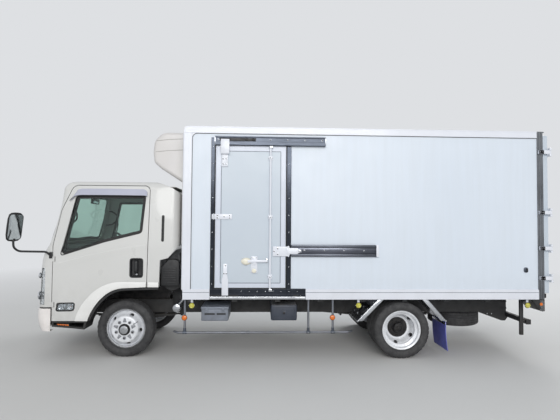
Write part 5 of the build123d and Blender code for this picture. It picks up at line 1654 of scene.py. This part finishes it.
def rear_post(side, name):
    """The rear post's folds, the white hinge blocks and the rubber buffers beside the doors."""
    piece = Piece(f"rear_post_{name}", "root", side)
    for x, half, proud in ((5028, 3.5, 3), (5050, 3.5, 3), (5078, 3.5, 3), (5095, 3, 2)):
        piece.bead(REAR_STEEL, [(x, 728), (x, 2778)], wall(side, FRAME_FACE), half, proud)
    outer = PIN_Y + 8.6
    for z in REAR_HINGES:
        low, high = z - 22.7, z + 22.7
        piece.box(TRIM, 5034.4, PIN_X, PIN_Y - 8.6, outer, low, high, 2)
        piece.box(TRIM, 5034.4, 5092, FRAME_FACE + 0.3, outer, low, high, 2)
        piece.bar(TRIM, [(PIN_X, PIN_Y, low), (PIN_X, PIN_Y, high)], 8.6, 20)
        piece.bolts([(5050, z), (5078, z)], outer, 6)
    for z in (860, 1160, 1560, 2150, 2690):
        piece.box(SEAL, BOX_REAR + 0.3, REAR_DOOR_IN - 0.4, 892, 938, z - 30, z + 30, 2, 2)
    piece.box(SEAL, BOX_REAR + 0.3, 5140, 800, 930, 730, 786, 12, 4)
    piece.done()


def rear_door(side, name):
    """One rear door's edge mouldings, seal, strap hinges, lock rod, keepers, handle and inner skin."""
    piece = Piece(f"rear_door_{name}_trim", f"rear_door_{name}_body", side)
    x = REAR_DOOR_OUT
    low, high = 792, 2735
    lining = end_wall(REAR_DOOR_IN, -1)

    def frame_of(y0, y1, z0, z1, radius):
        """A rounded outline from the outer edge to the inner one."""
        return rounded(square(side * y0, side * y1, z0, z1), radius, 4)

    edge = frame_of(931, 18, low + 14, high - 14, 10)
    piece.band(BRIGHT, edge, [(11, 0.1), (10, 2.6), (-9, 2.6), (-10, 0.1)], end_wall(x))
    seal = frame_of(940, 9, low + 5, high - 5, 12)
    piece.band(SEAL, seal, [(0, 0.2), (-2, 4.5), (-12, 4.8), (-14, 0.2)], lining)
    for z in [hinge + dz for hinge in REAR_HINGES for dz in (-37, 37)]:
        piece.box(TRIM, x + 0.2, x + 9, 784, 900, z - 13.6, z + 13.6, 2)
        piece.box(TRIM, x - 1, PIN_X + 7, 784, 975, z - 13.3, z + 13.3, 3)
        piece.bar(TRIM, [(PIN_X, PIN_Y, z - 13.3), (PIN_X, PIN_Y, z + 13.3)], 14.8, 24)
        for y in (806, 850, 920):
            piece.nut(BRIGHT, (PIN_X + 7, y, z), 8, 6, ALONG)
    rod = 300
    for z in (840, 1200, 1500, 2100, 2660):
        piece.box(TRIM, x + 0.2, x + 6, rod - 42, rod + 42, z - 26, z + 26, 3)
        piece.box(TRIM, x + 4, x + 41, rod - 27, rod + 27, z - 23, z + 23, 6, 3)
        piece.studs(BRIGHT, [(x + 41, rod + dy, z) for dy in (-14, 14)], ALONG, 5, 3)
    piece.bar(BRIGHT, [(x + 22, rod, low + 9), (x + 22, rod, high - 5)], 13.6, 24)
    for z in (low + 22, high - 20):
        piece.box(BRIGHT, x + 8, x + 36, rod - 24, rod + 24, z - 11, z + 11, 5, 2)
    handle = [(x + 38, rod, 1351), (x + 44, rod - 70, 1350), (x + 40, rod - 190, 1350)]
    piece.bar(BRIGHT, handle, 15, 16, 30, 5)
    piece.bar(SEAL, [(x + 42, rod - 112, 1350), (x + 41, rod - 186, 1350)], 18, 18)
    piece.box(TRIM, x + 0.2, x + 26, rod - 140, rod - 172, 1312, 1388, 6, 3)
    piece.box(BRIGHT, x + 0.2, x + 12, 40, 110, 1560, 1604, 4, 2)
    inside = frame_of(850, 40, low + 60, high - 70, 20)
    piece.face(TRIM, inside, lining, 0.4, 0.4)
    piece.band(BRIGHT, inside, [(3, 0.2), (2, 2.4), (-6, 2.4), (-7, 0.2)], lining)
    piece.done()


def rear_header():
    """The stainless header over the rear doors with its drip lip, and the threshold below."""
    piece = Piece("rear_header", "root")
    for z, half, finish in ((2752, 15, STEEL_LONG), (2777, 4, BRIGHT), (735, 8, STEEL_LONG),
                            (764, 10, BRIGHT)):
        piece.bead(finish, [(-940, z), (940, z)], end_wall(BOX_REAR), half, 4.5)
    piece.studs(BRIGHT, [(BOX_REAR, -880 + 220 * i, 2714) for i in range(9)], ALONG)
    lip = [(-70, 2782.2), (8, 2782.2), (22, 2776), (24, 2771), (20, 2771), (4, 2779), (-70, 2779)]
    piece.prism(STEEL_LONG, [(BOX_REAR + x, z) for x, z in lip], -946, 946)
    for y in (-700, -350, 350, 700):
        piece.box(SEAL, BOX_REAR + 0.3, BOX_REAR + 30, y - 46, y + 46, 738, 778, 9, 3)
    piece.done()


def roof_details():
    """The roof's cross seams and the flat strips along its edges."""
    piece = Piece("roof_seams", "root")
    for y in (-902, 902):
        piece.box(TRIM, 760, WALL_LINE, y - 16, y + 16, BOX_TOP + 0.2, BOX_TOP + 3, 1)
    for x in (1800, 2900, 4000):
        piece.box(TRIM, x - 18, x + 18, -884, 884, BOX_TOP + 0.2, BOX_TOP + 2.4, 1)
        piece.studs(TRIM, [(x, -860 + 86 * i, BOX_TOP + 2.2) for i in range(21)], UP, 5, 1.6)
    piece.done()


def fan(piece, centre, axis, radius):
    """A round fan: bezel, a dark disc that is painted shade, hub, five swept blades and a wire guard."""
    side, over = across(axis)
    axis = Vector(axis).normalized()

    def spot(angle, reach, lift):
        return centre + (around(side, over, angle) * reach + axis * lift) * MM

    bezel = [(radius + 12, 0), (radius + 11, 5), (radius + 4, 8), (radius - 1, 4), (radius - 3, 0.6)]
    piece.turn(PLASTIC, bezel, centre, 48, axis)
    # A flat dark disc under the blades stands in for the shade inside the fan's opening.
    piece.turn(SEAL, [(0, 0.5), (radius - 2, 0.5)], centre, 48, axis)
    piece.turn(GREY_DARK, [(0, 6), (radius * 0.22, 5), (radius * 0.26, 0)], centre, 28, axis)
    for i in range(5):
        made = bmesh.new()
        rows = []
        for k in range(5):
            start = 2 * math.pi * i / 5 + 0.16 * k
            reach = radius * (0.24 + 0.17 * k)
            rows.append([made.verts.new(spot(start, reach, 1.2)),
                         made.verts.new(spot(start + 0.62 - 0.05 * k, reach, 4.6))])
        strips(made, rows)
        piece.add(made, GREY_DARK)
    for share in (0.3, 0.48, 0.66, 0.84):
        ring = [spot(2 * math.pi * k / 40, radius * share, 9) for k in range(40)]
        piece.bar(BRIGHT, ring, 1.8, 6, closed=True)
    for i in range(6):
        angle = math.pi * i / 3
        piece.bar(BRIGHT, [spot(angle, radius * 0.2, 9), spot(angle, radius + 4, 7)], 1.8, 6)


def box_interior():
    """Inside the box: floor ribs, wall rails, roof lamps and the cooler with its three fans."""
    piece = Piece("box_interior", "root")
    floor = 822
    front, rear = 800, 5018
    for i in range(24):
        y = -840 + 73 * i
        piece.box(BRIGHT, front, rear, y - 7, y + 7, floor + 0.2, floor + 5, 1)
    for side in piece.both():
        for x0, x1 in ([(1945, rear), (front, 1062)] if side == LEFT else [(front, rear)]):
            for z in (1250, 1800):
                piece.box(BRIGHT, x0, x1, 869.5, 864, z - 22, z + 22, 2)
            piece.box(BRIGHT, x0, x1, 869.5, 862, floor + 6, floor + 140, 2)
    for x in (1900, 3100, 4300):
        piece.box(LENS, x - 150, x + 150, -60, 60, 2685, 2668, 6, 3)
        piece.box(TRIM, x - 162, x + 162, -68, 68, 2685.6, 2680, 4, 2)
    piece.done()
    cooler = Piece("evaporator_set", "root")
    x0 = 794.4
    body = rounded([(x0, 2361), (x0 + 319, 2441), (x0 + 419, 2685), (x0, 2685)], 16, 4)
    cooler.prism(TRIM, body, -618, 618, 5)
    for y in (-400, 0, 400):
        fan(cooler, at(x0 + 160, y, 2400.5), Vector((80, 0, -320)), 130)
    for z in range(2462, 2638, 25):
        x = x0 + 319 + (z - 2441) / 244 * 100
        cooler.box(GREY_DARK, x - 4, x + 5, -560, 560, z - 4, z + 4, 1.5)
    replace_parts(cooler.done(), "evaporator")


def unit_details():
    """The cooling unit's press lines, screws and slot slats, its fan, and the cover's vents."""
    piece = Piece("cooling_unit_trim", "root")
    for side in piece.both():
        shell = wall(side, 745)
        for line in ([(330, 2638), (480, 2655), (706, 2668)], [(318, 2500), (480, 2517), (706, 2530)]):
            # The press lines are drawn in painted shade.
            piece.band(GROOVE_SHADE, line, [(-4, 0.05), (-3, 1.2), (3, 1.2), (4, 0.05)], shell, closed=False)
        piece.studs(DARK, [(694, 745.1, z) for z in (2283, 2573)], None, 6, 2.6)
        piece.studs(BRIGHT, [(690, 860.1, z) for z in (1420, 1600, 1780, 1960, 2090)], None, 6)
        for z in range(2415, 2586, 34):
            for y in (74, 216, 358, 500):
                slat = box(300, 316, side * y, side * (y + 132), z - 4.5, z - 1.5, 1)
                piece.add(tilted(slat, 24, 308, z), GREY_DARK)
                # A black strip behind each slat stands in for the shade inside the slot.
                piece.box(SEAL, 324, 328, y, y + 132, z - 9, z + 9)
    for y in (-300, 300):
        fan(piece, at(520, y, 2747.2), UP, 150)
    front = end_wall(670, -1)
    seam = rounded(square(-820, 820, 1400, 2100), 30, 5)
    # The seam round the front cover is painted shade too.
    piece.band(GROOVE_SHADE, seam, [(-2.5, 0.1), (-2, 1.4), (2, 1.4), (2.5, 0.1)], front)
    piece.studs(BRIGHT, [(670, y, z) for y in (-800, -400, 0, 400, 800) for z in (1384, 2116)], AHEAD, 7)
    for y in (-360, 360):
        vent = rounded(square(y - 170, y + 170, 1500, 1760), 16, 4)
        piece.band(UNIT, vent, [(8, 0.1), (7, 3), (-4, 3), (-5, 0.5)], front)
        for z in range(1512, 1733, 22):
            piece.box(GREY_DARK, 667, 671, y - 160, y + 160, z, z + 8, 1.2)
    piece.done()


# Under the body

GUARD_Y = 880
GUARD_Z = 315
CASE_FACE = 879
CASE_INNER = 350.3


def lamp_set():
    """Tail lamps in black wedges with clear, amber and red lenses, and green-yellow marker lamps."""
    piece = Piece("lamp_set", "root")
    wedge = rounded([(4985, UNDER_BOX), (5128, UNDER_BOX), (5128, 566), (5104, 560), (4985, 690)], 6, 3)
    dome = [(32, 6), (31, 13), (27, 18), (22, 21), (19, 20), (15, 23), (9, 25), (0, 25.6)]
    for side in piece.both():
        piece.prism(PLASTIC, wedge, 561, 899, 3)
        # Each lens: y from, y to, colour
        for y0, y1, finish in ((566, 664, RED), (668, 776, AMBER), (780, 896, LENS)):
            piece.box(finish, 5124, 5141, y0, y1, 562, 712, 7, 3)
            for z in range(584, 693, 27):
                piece.box(finish, 5140, 5142, y0 + 8, y1 - 8, z - 1.5, z + 1.5, 0.6)
        piece.box(LENS, 5078, 5126, 894, 900.6, 566, 704, 3, 2)
        piece.disc(AMBER, (5090, 899, 652), 19, 5, 3, 24)
        for x in (813, 2815, 4912):
            piece.box(TRIM, x - 14, x + 14, 897, 904, 640, UNDER_BOX, 2)
            piece.turn(SEAL, [(0, 0), (36, 0), (36, 5), (33, 8), (30, 8)], (x, 903, 640), 36)
            piece.turn(YELLOW, dome, (x, 903, 640), 36)
            piece.studs(BRIGHT, [(x - 33, 909, 640), (x + 33, 909, 640)], None, 3.5, 3)
    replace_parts(piece.done(), "lamps")


def cases(piece):
    """The light-grey battery case with its slots and latches, and the dark tool case with its lock."""
    piece.box(CASE, 921, 1245, CASE_FACE, 480, 450, 617, 12, 4)
    piece.box(CASE, 916, 1250, CASE_FACE + 5, 476, 588, 619, 7, 3)
    for x0, x1 in ((960, 1085), (1105, 1215)):
        slot = rounded(square(x0, x1, 524, 544), 8, 4)
        # A black sheet in each slot stands in for the shade inside it.
        piece.face(SEAL, slot, wall(LEFT, CASE_FACE), 0.6, 0.2)
        piece.band(CASE, slot, [(4, 0.7), (3, 3.6), (0, 3.6), (-1, 0.7)], wall(LEFT, CASE_FACE))
    for x in (985, 1180):
        piece.box(CASE, x - 13, x + 13, 889, 880, 566, 602, 3, 2)
        piece.bar(CASE, [(x - 15, 887, 566), (x + 15, 887, 566)], 4, 10)
    piece.box(BLACK, 960, 1200, 481, CASE_INNER, 520, 580, 5)
    piece.box(CASE_DARK, 1756, 2072, CASE_FACE, 470, 452, 642, 20, 4)
    lid = rounded(square(1782, 2046, 478, 616), 16, 4)
    piece.band(CASE_DARK, lid, [(3, 0.1), (2, 3), (-6, 3.6), (-8, 0.2)], wall(LEFT, CASE_FACE))
    piece.plate(CASE_DARK, square(1890, 1938, 520, 572), 880, 885, 8)
    piece.disc(DARK, (1914, 885, 546), 13, 6, 2, 28)
    piece.box(BLACK, 1800, 2030, 471, CASE_INNER, 520, 590, 5)


def air_cleaner(piece):
    """The air cleaner behind the cab with its clips, intake duct, louvres and bellows, and a dryer."""
    shell = [(0, 0), (112, 0), (118, 6), (118, 60), (121, 64), (121, 76), (118, 80), (118, 200), (121, 204),
             (121, 212), (118, 216), (118, 318), (110, 330), (60, 338), (0, 339)]
    piece.turn(PLASTIC, shell, (540, 380, 900), 56)
    for i in range(4):
        angle = math.radians(45 + 90 * i)
        x, z = 540 + 118 * math.cos(angle), 900 + 118 * math.sin(angle)
        piece.box(BRIGHT, x - 9, x + 9, 462, 434, z - 9, z + 9, 3)
    piece.box(BLACK, 484, 596, 386, 352, 560, 892, 6, 2)
    duct = rounded([(424, 862), (634, 862), (634, 1150), (600, 1176), (512, 1176), (424, 1080)], 26, 5)
    piece.prism(PLASTIC, duct, 806, 700, 12, 3)
    for z in range(900, 1069, 28):
        piece.box(PLASTIC, 446, 612, 811, 803, z - 6, z + 6, 2.5)
    hose = [piece.at(place) for place in ((540, 640, 1010), (540, 650, 1080), (552, 700, 1110))]
    path = rounded_path(hose, 50, 10)
    for i, ends in enumerate(zip(path, path[1:])):
        piece.bar(SEAL, ends, 46 if i % 2 else 40, 20)
    can = [(0, 0), (40, 0), (47, 5), (48, 60), (48, 330), (50, 334), (50, 352), (46, 362), (30, 368),
           (0, 370)]
    piece.turn(BRIGHT, can, (603, 392, 578), 44)
    for y in (470, 700):
        piece.strap(STEEL, (603, y, 578), 48, 50.6, 24, 44)
    piece.box(BLACK, 575, 631, 412, CASE_INNER, 556, 600, 6)


def side_case_set():
    piece = Piece("side_case_set", "root", LEFT)
    cases(piece)
    air_cleaner(piece)
    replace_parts(piece.done(), "side_cases")


def rear_guard_set():
    """The under-run bar with its end caps and plates, and the spare wheel under its carrier."""
    piece = Piece("rear_guard_set", "root")
    piece.box(BLACK, 4950, 5010, -812, 812, 385, 445, 12, 4)
    gusset = rounded([(4560, 450), (4900, 330), (4950, 330), (4992, 386), (4992, 450)], 8, 3)
    bar_back, plate_back = end_wall(5010), end_wall(5012)
    for side in piece.both():
        piece.box(PLASTIC, 4948.5, 5011.5, 806, 820, 383.5, 446.5, 13, 4)
        for y in (306, 338):
            piece.prism(BLACK, gusset, y, y + 6)
        piece.box(BLACK, 4880, 4926, 770, 800, 250, UNDER_BOX, 5, 2)
        piece.box(BLACK, 4920, 4952, 774, 796, 396, 434, 4, 2)
        for x, z in ((4960, 404), (4990, 430), (4700, 424), (4760, 424)):
            piece.nut(BRIGHT, (x, 344, z), 9, 7)
        reflector = rounded(square(side * 640, side * 740, 404, 430), 6, 3)
        piece.band(SEAL, reflector, [(2, 0.1), (2, 3), (0, 4)], bar_back)
        piece.face(RED, reflector, bar_back, 3.6, 1)
    blank = rounded(square(-180, 180, 352, 452), 8, 3)
    piece.band(SEAL, blank, [(3, -1), (3, 2.5), (0, 3)], plate_back)
    piece.face(PLATE, blank, plate_back, 2.6, 0.3)
    piece.box(BLACK, 5009, 5012.6, -170, 170, 386, 440, 1)
    spare_x = 4375
    down = Matrix.Translation(at(spare_x, 0, 342.5)) @ Matrix.Rotation(-math.pi / 2, 4, "X")
    origin = Vector((0, 0, 0))
    piece.add(tyre_mesh(origin), RUBBER, down)
    piece.add(rim_mesh(origin, 1), WHEEL, down)
    piece.box(BLACK, spare_x - 40, spare_x + 40, -348, 348, 446, 449.6, 1)
    for y in (-330, 330):
        piece.box(BLACK, spare_x - 40, spare_x + 40, y - 14, y + 14, 440, 449.6, 2)
    piece.bar(DARK, [(spare_x, 0, 214), (spare_x, 0, 447)], 13, 18)
    piece.disc(BLACK, (spare_x, 0, 227), 88, 9, 3, 40, DOWN)
    piece.nut(DARK, (spare_x, 0, 218), 22, 16, DOWN)
    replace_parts(piece.done(), "rear_guard")


def guard_fittings():
    """The side guards' coupler and clamps, their feet on the box, and the orange reflectors."""
    piece = Piece("side_guard_fittings", "root")
    y = GUARD_Y
    sleeve = [(14, 0), (17, 1), (17, 30), (15.5, 33), (15.5, 67), (17, 70), (17, 99), (14, 100)]
    for side in piece.both():
        piece.turn(GUARD, sleeve, (1400, y, GUARD_Z), 24, ALONG)
        for x in (728, 2208, 2505):
            piece.strap(PALE_STEEL, (x - 25, y, GUARD_Z), 13.8, 17.5, 50, 24, ALONG)
            piece.strap(PALE_STEEL, (x, y, GUARD_Z + 10), 13.8, 17, 44, 24, UP)
            piece.nut(BRIGHT, (x, y + 17, GUARD_Z), 7, 6)
            piece.box(STEEL, x - 34, x + 34, y - 14, y + 14, 712, UNDER_BOX, 2)
        for x in (726, 2499):
            base = (x, y + 13, 494)
            piece.turn(PLASTIC, [(0, 0), (33, 0), (34, 3), (34, 7), (31, 9), (28, 9)], base, 36)
            piece.turn(AMBER, [(30, 7), (29, 11), (23, 15), (12, 18), (0, 19)], base, 36)
    piece.done()


def step_fittings():
    """Treads, amber reflectors and edges of the cab steps, and the slots and flares of the quarters."""
    piece = Piece("cab_step_fittings", "cab")
    strip = rounded([(-790, 386), (-652, 376), (-652, 402), (-790, 410)], 6, 3)
    slot = rounded(square(431, 453, 1400, 1710), 9, 4)
    for side in piece.both():
        piece.face(AMBER, strip, wall(side, 830), 0, 1)
        piece.box(PLASTIC, -796, -648, 700, 829.5, 378, 412, 3)
        piece.bead(SEAL, [(-840, 436), (-446, 436)], wall(side, 846), 4, 3)
        for x in range(-812, -503, 28):
            tread = 401 - (x + 825) * 0.09
            piece.box(PLASTIC, x - 5, x + 5, 660, 838, tread, tread + 4, 1)
        # The quarter's flare takes the same painted highlight.
        flare(piece, [(281, 908), (404, 906)], [(281, 849), (404, 849)])
        quarter = on_side(side)
        # A black sheet over the vent slot, under its slats, is painted shade standing in for the dark inside
        # the slot.
        piece.face(SEAL, slot, quarter, 0.6, 0.3)
        piece.band(PLASTIC, slot, [(5, 0.3), (5, 2.4), (0, 2.8), (-2, 0.5), (-3, -14)], quarter)
        for z in range(1411, 1697, 19):
            piece.box(PLASTIC, 433, 451, side_y(z) - 2, side_y(z) + 1.6, z - 4, z + 4, 1)
    piece.done()


def axle_fittings(piece):
    """Frame rivets, spring clips and eyes, brake chambers, drum fins and dampers on one side."""
    for x in (-795, 1135, 1935, 2735, 3935, 4935):
        piece.studs(BLACK, [(x + dx, 350, z) for dx in (-22, 22) for z in (502, 586)], None, 9, 6)
    for axle, top, low in ((0, 430, 292), (REAR_AXLE, 438, 266)):
        for x in (axle - 66, axle + 66):
            piece.bar(DARK, [(x, 286, low), (x, 286, top), (x, 354, top), (x, 354, low)], 7, 10, 16, 4)
        piece.box(BLACK, axle - 72, axle + 72, 280, 360, low, low + 10, 3)
    for x in (-600, 600, REAR_AXLE - 650, REAR_AXLE + 650):
        piece.bar(DARK, [(x, 284, 424), (x, 356, 424)], 13)
        piece.studs(DARK, [(x, 356, 424)], None, 17, 9)
    pot = [(0, 0), (52, 0), (60, 8), (60, 34), (66, 36), (66, 44), (60, 46), (60, 84), (44, 96), (0, 98)]
    piece.turn(BLACK, pot, (REAR_AXLE - 150, 250, 470), 36, (-1, 0, 0.25))
    drum = [(141, 0), (146, 4), (146, 12), (141, 16), (141, 30), (146, 34), (146, 42), (141, 46)]
    piece.turn(DARK, drum, (REAR_AXLE, 392, AXLE_Z), 56)
    foot, head = [piece.at(place) for place in ((REAR_AXLE - 190, 300, 300), (REAR_AXLE - 330, 318, 560))]
    piece.bar(DARK, [foot, foot.lerp(head, 0.55)], 27, 20)
    piece.bar(BRIGHT, [foot.lerp(head, 0.5), head], 20, 20)


def chassis_fittings():
    """The axles' small parts, the brake pipes, the air tank, the prop shaft's joints and tank straps."""
    piece = Piece("chassis_fittings", "root")
    for side in piece.both():
        axle_fittings(piece)
    for y, z, finish in ((-318, 607, SEAL), (-302, 607, BRIGHT), (318, 607, SEAL)):
        piece.bar(finish, [(-700, y, z), (900, y, z), (2500, y * 0.98, z), (4800, y, z)], 5.5, 8, 60, 4)
    tank = [(0, 0), (96, 0), (112, 16), (114, 40), (114, 400), (112, 424), (96, 440), (0, 440)]
    piece.turn(BLACK, tank, (2960, 196, 520), 44, ALONG)
    for x in (3050, 3290):
        piece.strap(BRIGHT, (x, 196, 520), 114, 117, 28, 44, ALONG)
    joint = [(45, -60), (60, -44), (66, -14), (66, 14), (60, 44), (45, 60)]
    for x in (1130, 3210):
        place = (x, 0, 560 - (x - 1078) / (REAR_AXLE - 1198) * 202)
        piece.turn(DARK, joint, place, 32, (1, 0, -0.09))
    for x in (2290, 2590):
        piece.strap(BRIGHT, (x, 560, 480), 105, 108, 30, 40, ALONG)
    piece.turn(BLACK, [(26, 0), (40, 6), (40, 12), (26, 18)], (1560, 790, 650), 32, (0, 1, 1))
    piece.done()


def mudguard_details():
    """Rolled edges and bolts of the mudguard strips, and the flaps' bars, bolts and blank panels."""
    piece = Piece("mudguard_details", "root")
    edge = 925
    for side in piece.both():
        for sign, top, foot in ((-1, 275, 533), (1, 295, 524)):
            for share in (0.2, 0.5, 0.8):
                x = REAR_AXLE + sign * (top + (foot - top) * share + 12)
                places = [(x, y, 722 - 268 * share) for y in (520, 690, 880)]
                piece.studs(BRIGHT, places, (sign * 0.72, 0, 0.69), 9, 5)
            high, low = REAR_AXLE + sign * (top + 8), REAR_AXLE + sign * (foot + 10)
            piece.bar(BRIGHT, [(high, edge, 720), (low, edge, 456)], 5, 12)
            flange = [(high, 720), (low, 456), (low - sign * 58, 456), (high - sign * 62, 720)]
            piece.prism(BRIGHT, flange, edge - 3, edge + 3, 1.2)
        x = REAR_AXLE + 530
        piece.box(BRIGHT, x - 3, x + 12, 524, 922, 405, 436, 3, 2)
        for y in range(550, 895, 86):
            piece.nut(DARK, (x + 12, y, 421), 8, 6, ALONG)
        blank = rounded(square(side * 600, side * 850, 160, 300), 20, 5)
        piece.band(FLAP, blank, [(2, -1), (1, 1.6), (-1, 1.6), (-2, -1)],
                   lambda y, z, proud: at(x + 10.5 + (300 - z) * 0.078 + proud, y, z))
    piece.done()


# Camera, light and floor

CAMERA_PLACE = Vector((-0.3534, -6.1234, 1.6144))
CAMERA_YAW = 0.042
CAMERA_PITCH = 0.033
CAMERA_ROLL = 0.007
SENSOR = 36
PHOTO_WIDTH = 560
FOCAL_PIXELS = 432
BACKDROP = linear((222, 224, 227))
FLOOR_REACH = 60
FLOOR_CLEAR = 4.5
FLOOR_FADED = 13
SKY_TINT = (0.92, 0.96, 1, 1)
SKY_STRENGTH = 0.58


def camera():
    """The photographer's place, found by fitting a pinhole camera to the wheels and the box."""
    level = Vector((math.sin(CAMERA_YAW), math.cos(CAMERA_YAW), 0))
    right = Vector((math.cos(CAMERA_YAW), -math.sin(CAMERA_YAW), 0))
    upright = Vector(UP)
    ahead = around(level, upright, CAMERA_PITCH)
    tilted_up = around(upright, -level, CAMERA_PITCH)
    data = bpy.data.cameras.new("camera")
    data.sensor_width = SENSOR
    data.lens = FOCAL_PIXELS * SENSOR / PHOTO_WIDTH
    made = added("camera", data)
    axes = (around(right, tilted_up, CAMERA_ROLL), around(tilted_up, -right, CAMERA_ROLL), -ahead)
    made.matrix_world = Matrix.Translation(CAMERA_PLACE) @ Matrix(axes).transposed().to_4x4()
    bpy.context.scene.camera = made


def softbox(name, place, aim, size, power, tint):
    data = bpy.data.lights.new(name, "AREA")
    data.shape = "RECTANGLE"
    data.size, data.size_y = size
    data.energy = power
    data.color = tint
    made = added(name, data)
    made.location = place
    made.rotation_mode = "QUATERNION"
    made.rotation_quaternion = (Vector(place) - Vector(aim)).to_track_quat("Z", "Y")


def lay_floor():
    """A pale floor that fades into the backdrop's colour for the rays that see it."""
    data = bpy.data.meshes.new("floor")
    corners = [(x, z, 0) for x, z in square(-FLOOR_REACH, FLOOR_REACH, -FLOOR_REACH, FLOOR_REACH)]
    data.from_pydata(corners, [], [(0, 1, 2, 3)])
    floor = added("floor", data)
    ground = Finish("floor", (210, 209, 207)).mottle(0.6, (204, 203, 201), 0.6).grain(60, 0.001, 0.2)
    ground.set("Roughness", 0.8)
    away = ground.node("VectorMath", {0: ground.place}, operation="LENGTH").outputs["Value"]
    faded = ground.times(ground.ramp(away, FLOOR_CLEAR, FLOOR_FADED), ground.seen_rays())
    glow = ground.node("Emission", {"Color": BACKDROP}).outputs["Emission"]
    both = ground.node("MixShader", {"Fac": faded, 1: ground.shader.outputs["BSDF"], 2: glow})
    ground.put(ground.tree.nodes["Material Output"].inputs["Surface"], both.outputs["Shader"])
    data.materials.append(ground.material)


def light_world():
    """Soft light from all round, and the backdrop's colour for the rays that see it."""
    world = bpy.data.worlds.new("world")
    bpy.context.scene.world = world
    world.use_nodes = True
    sky = Nodes(world.node_tree)
    light = sky.tree.nodes["Background"]
    sky.put(light.inputs["Color"], SKY_TINT)
    sky.put(light.inputs["Strength"], SKY_STRENGTH)
    seen = sky.node("Background", {"Color": BACKDROP}).outputs["Background"]
    mix = sky.node("MixShader", {"Fac": sky.seen_rays(), 1: light.outputs["Background"], 2: seen})
    sky.put(sky.tree.nodes["World Output"].inputs["Surface"], mix.outputs["Shader"])


def stage():
    """A pale floor and backdrop, with soft light on the photographed side and a weaker one behind."""
    lay_floor()
    light_world()
    softbox("key", (0.2, -14.5, 6.4), (0.6, 0, 1.3), (10, 6), 1230, (1, 0.99, 0.975))
    softbox("fill", (6, 8, 7.5), (0, 0, 1.2), (7, 5), 520, (0.96, 0.98, 1))


def main():
    bpy.context.scene.view_settings.view_transform = "Standard"
    camera()
    stage()
    dress_nodes()
    for side, name in ((LEFT, "left"), (RIGHT, "right")):
        for make in (front_wheel, rear_wheels, cab_door, headlamp, body_mouldings, rear_post, rear_door):
            make(side, name)
    for make in (doorway_details, door_gear, rear_header, roof_details, box_interior, unit_details, lamp_set,
                 side_case_set, rear_guard_set, guard_fittings, step_fittings, chassis_fittings,
                 mudguard_details, screen_seals, wipers, grille, bumper_trim, mirrors, steering,
                 dashboard_fittings, cab_interior, belts, seats):
        make()


main()
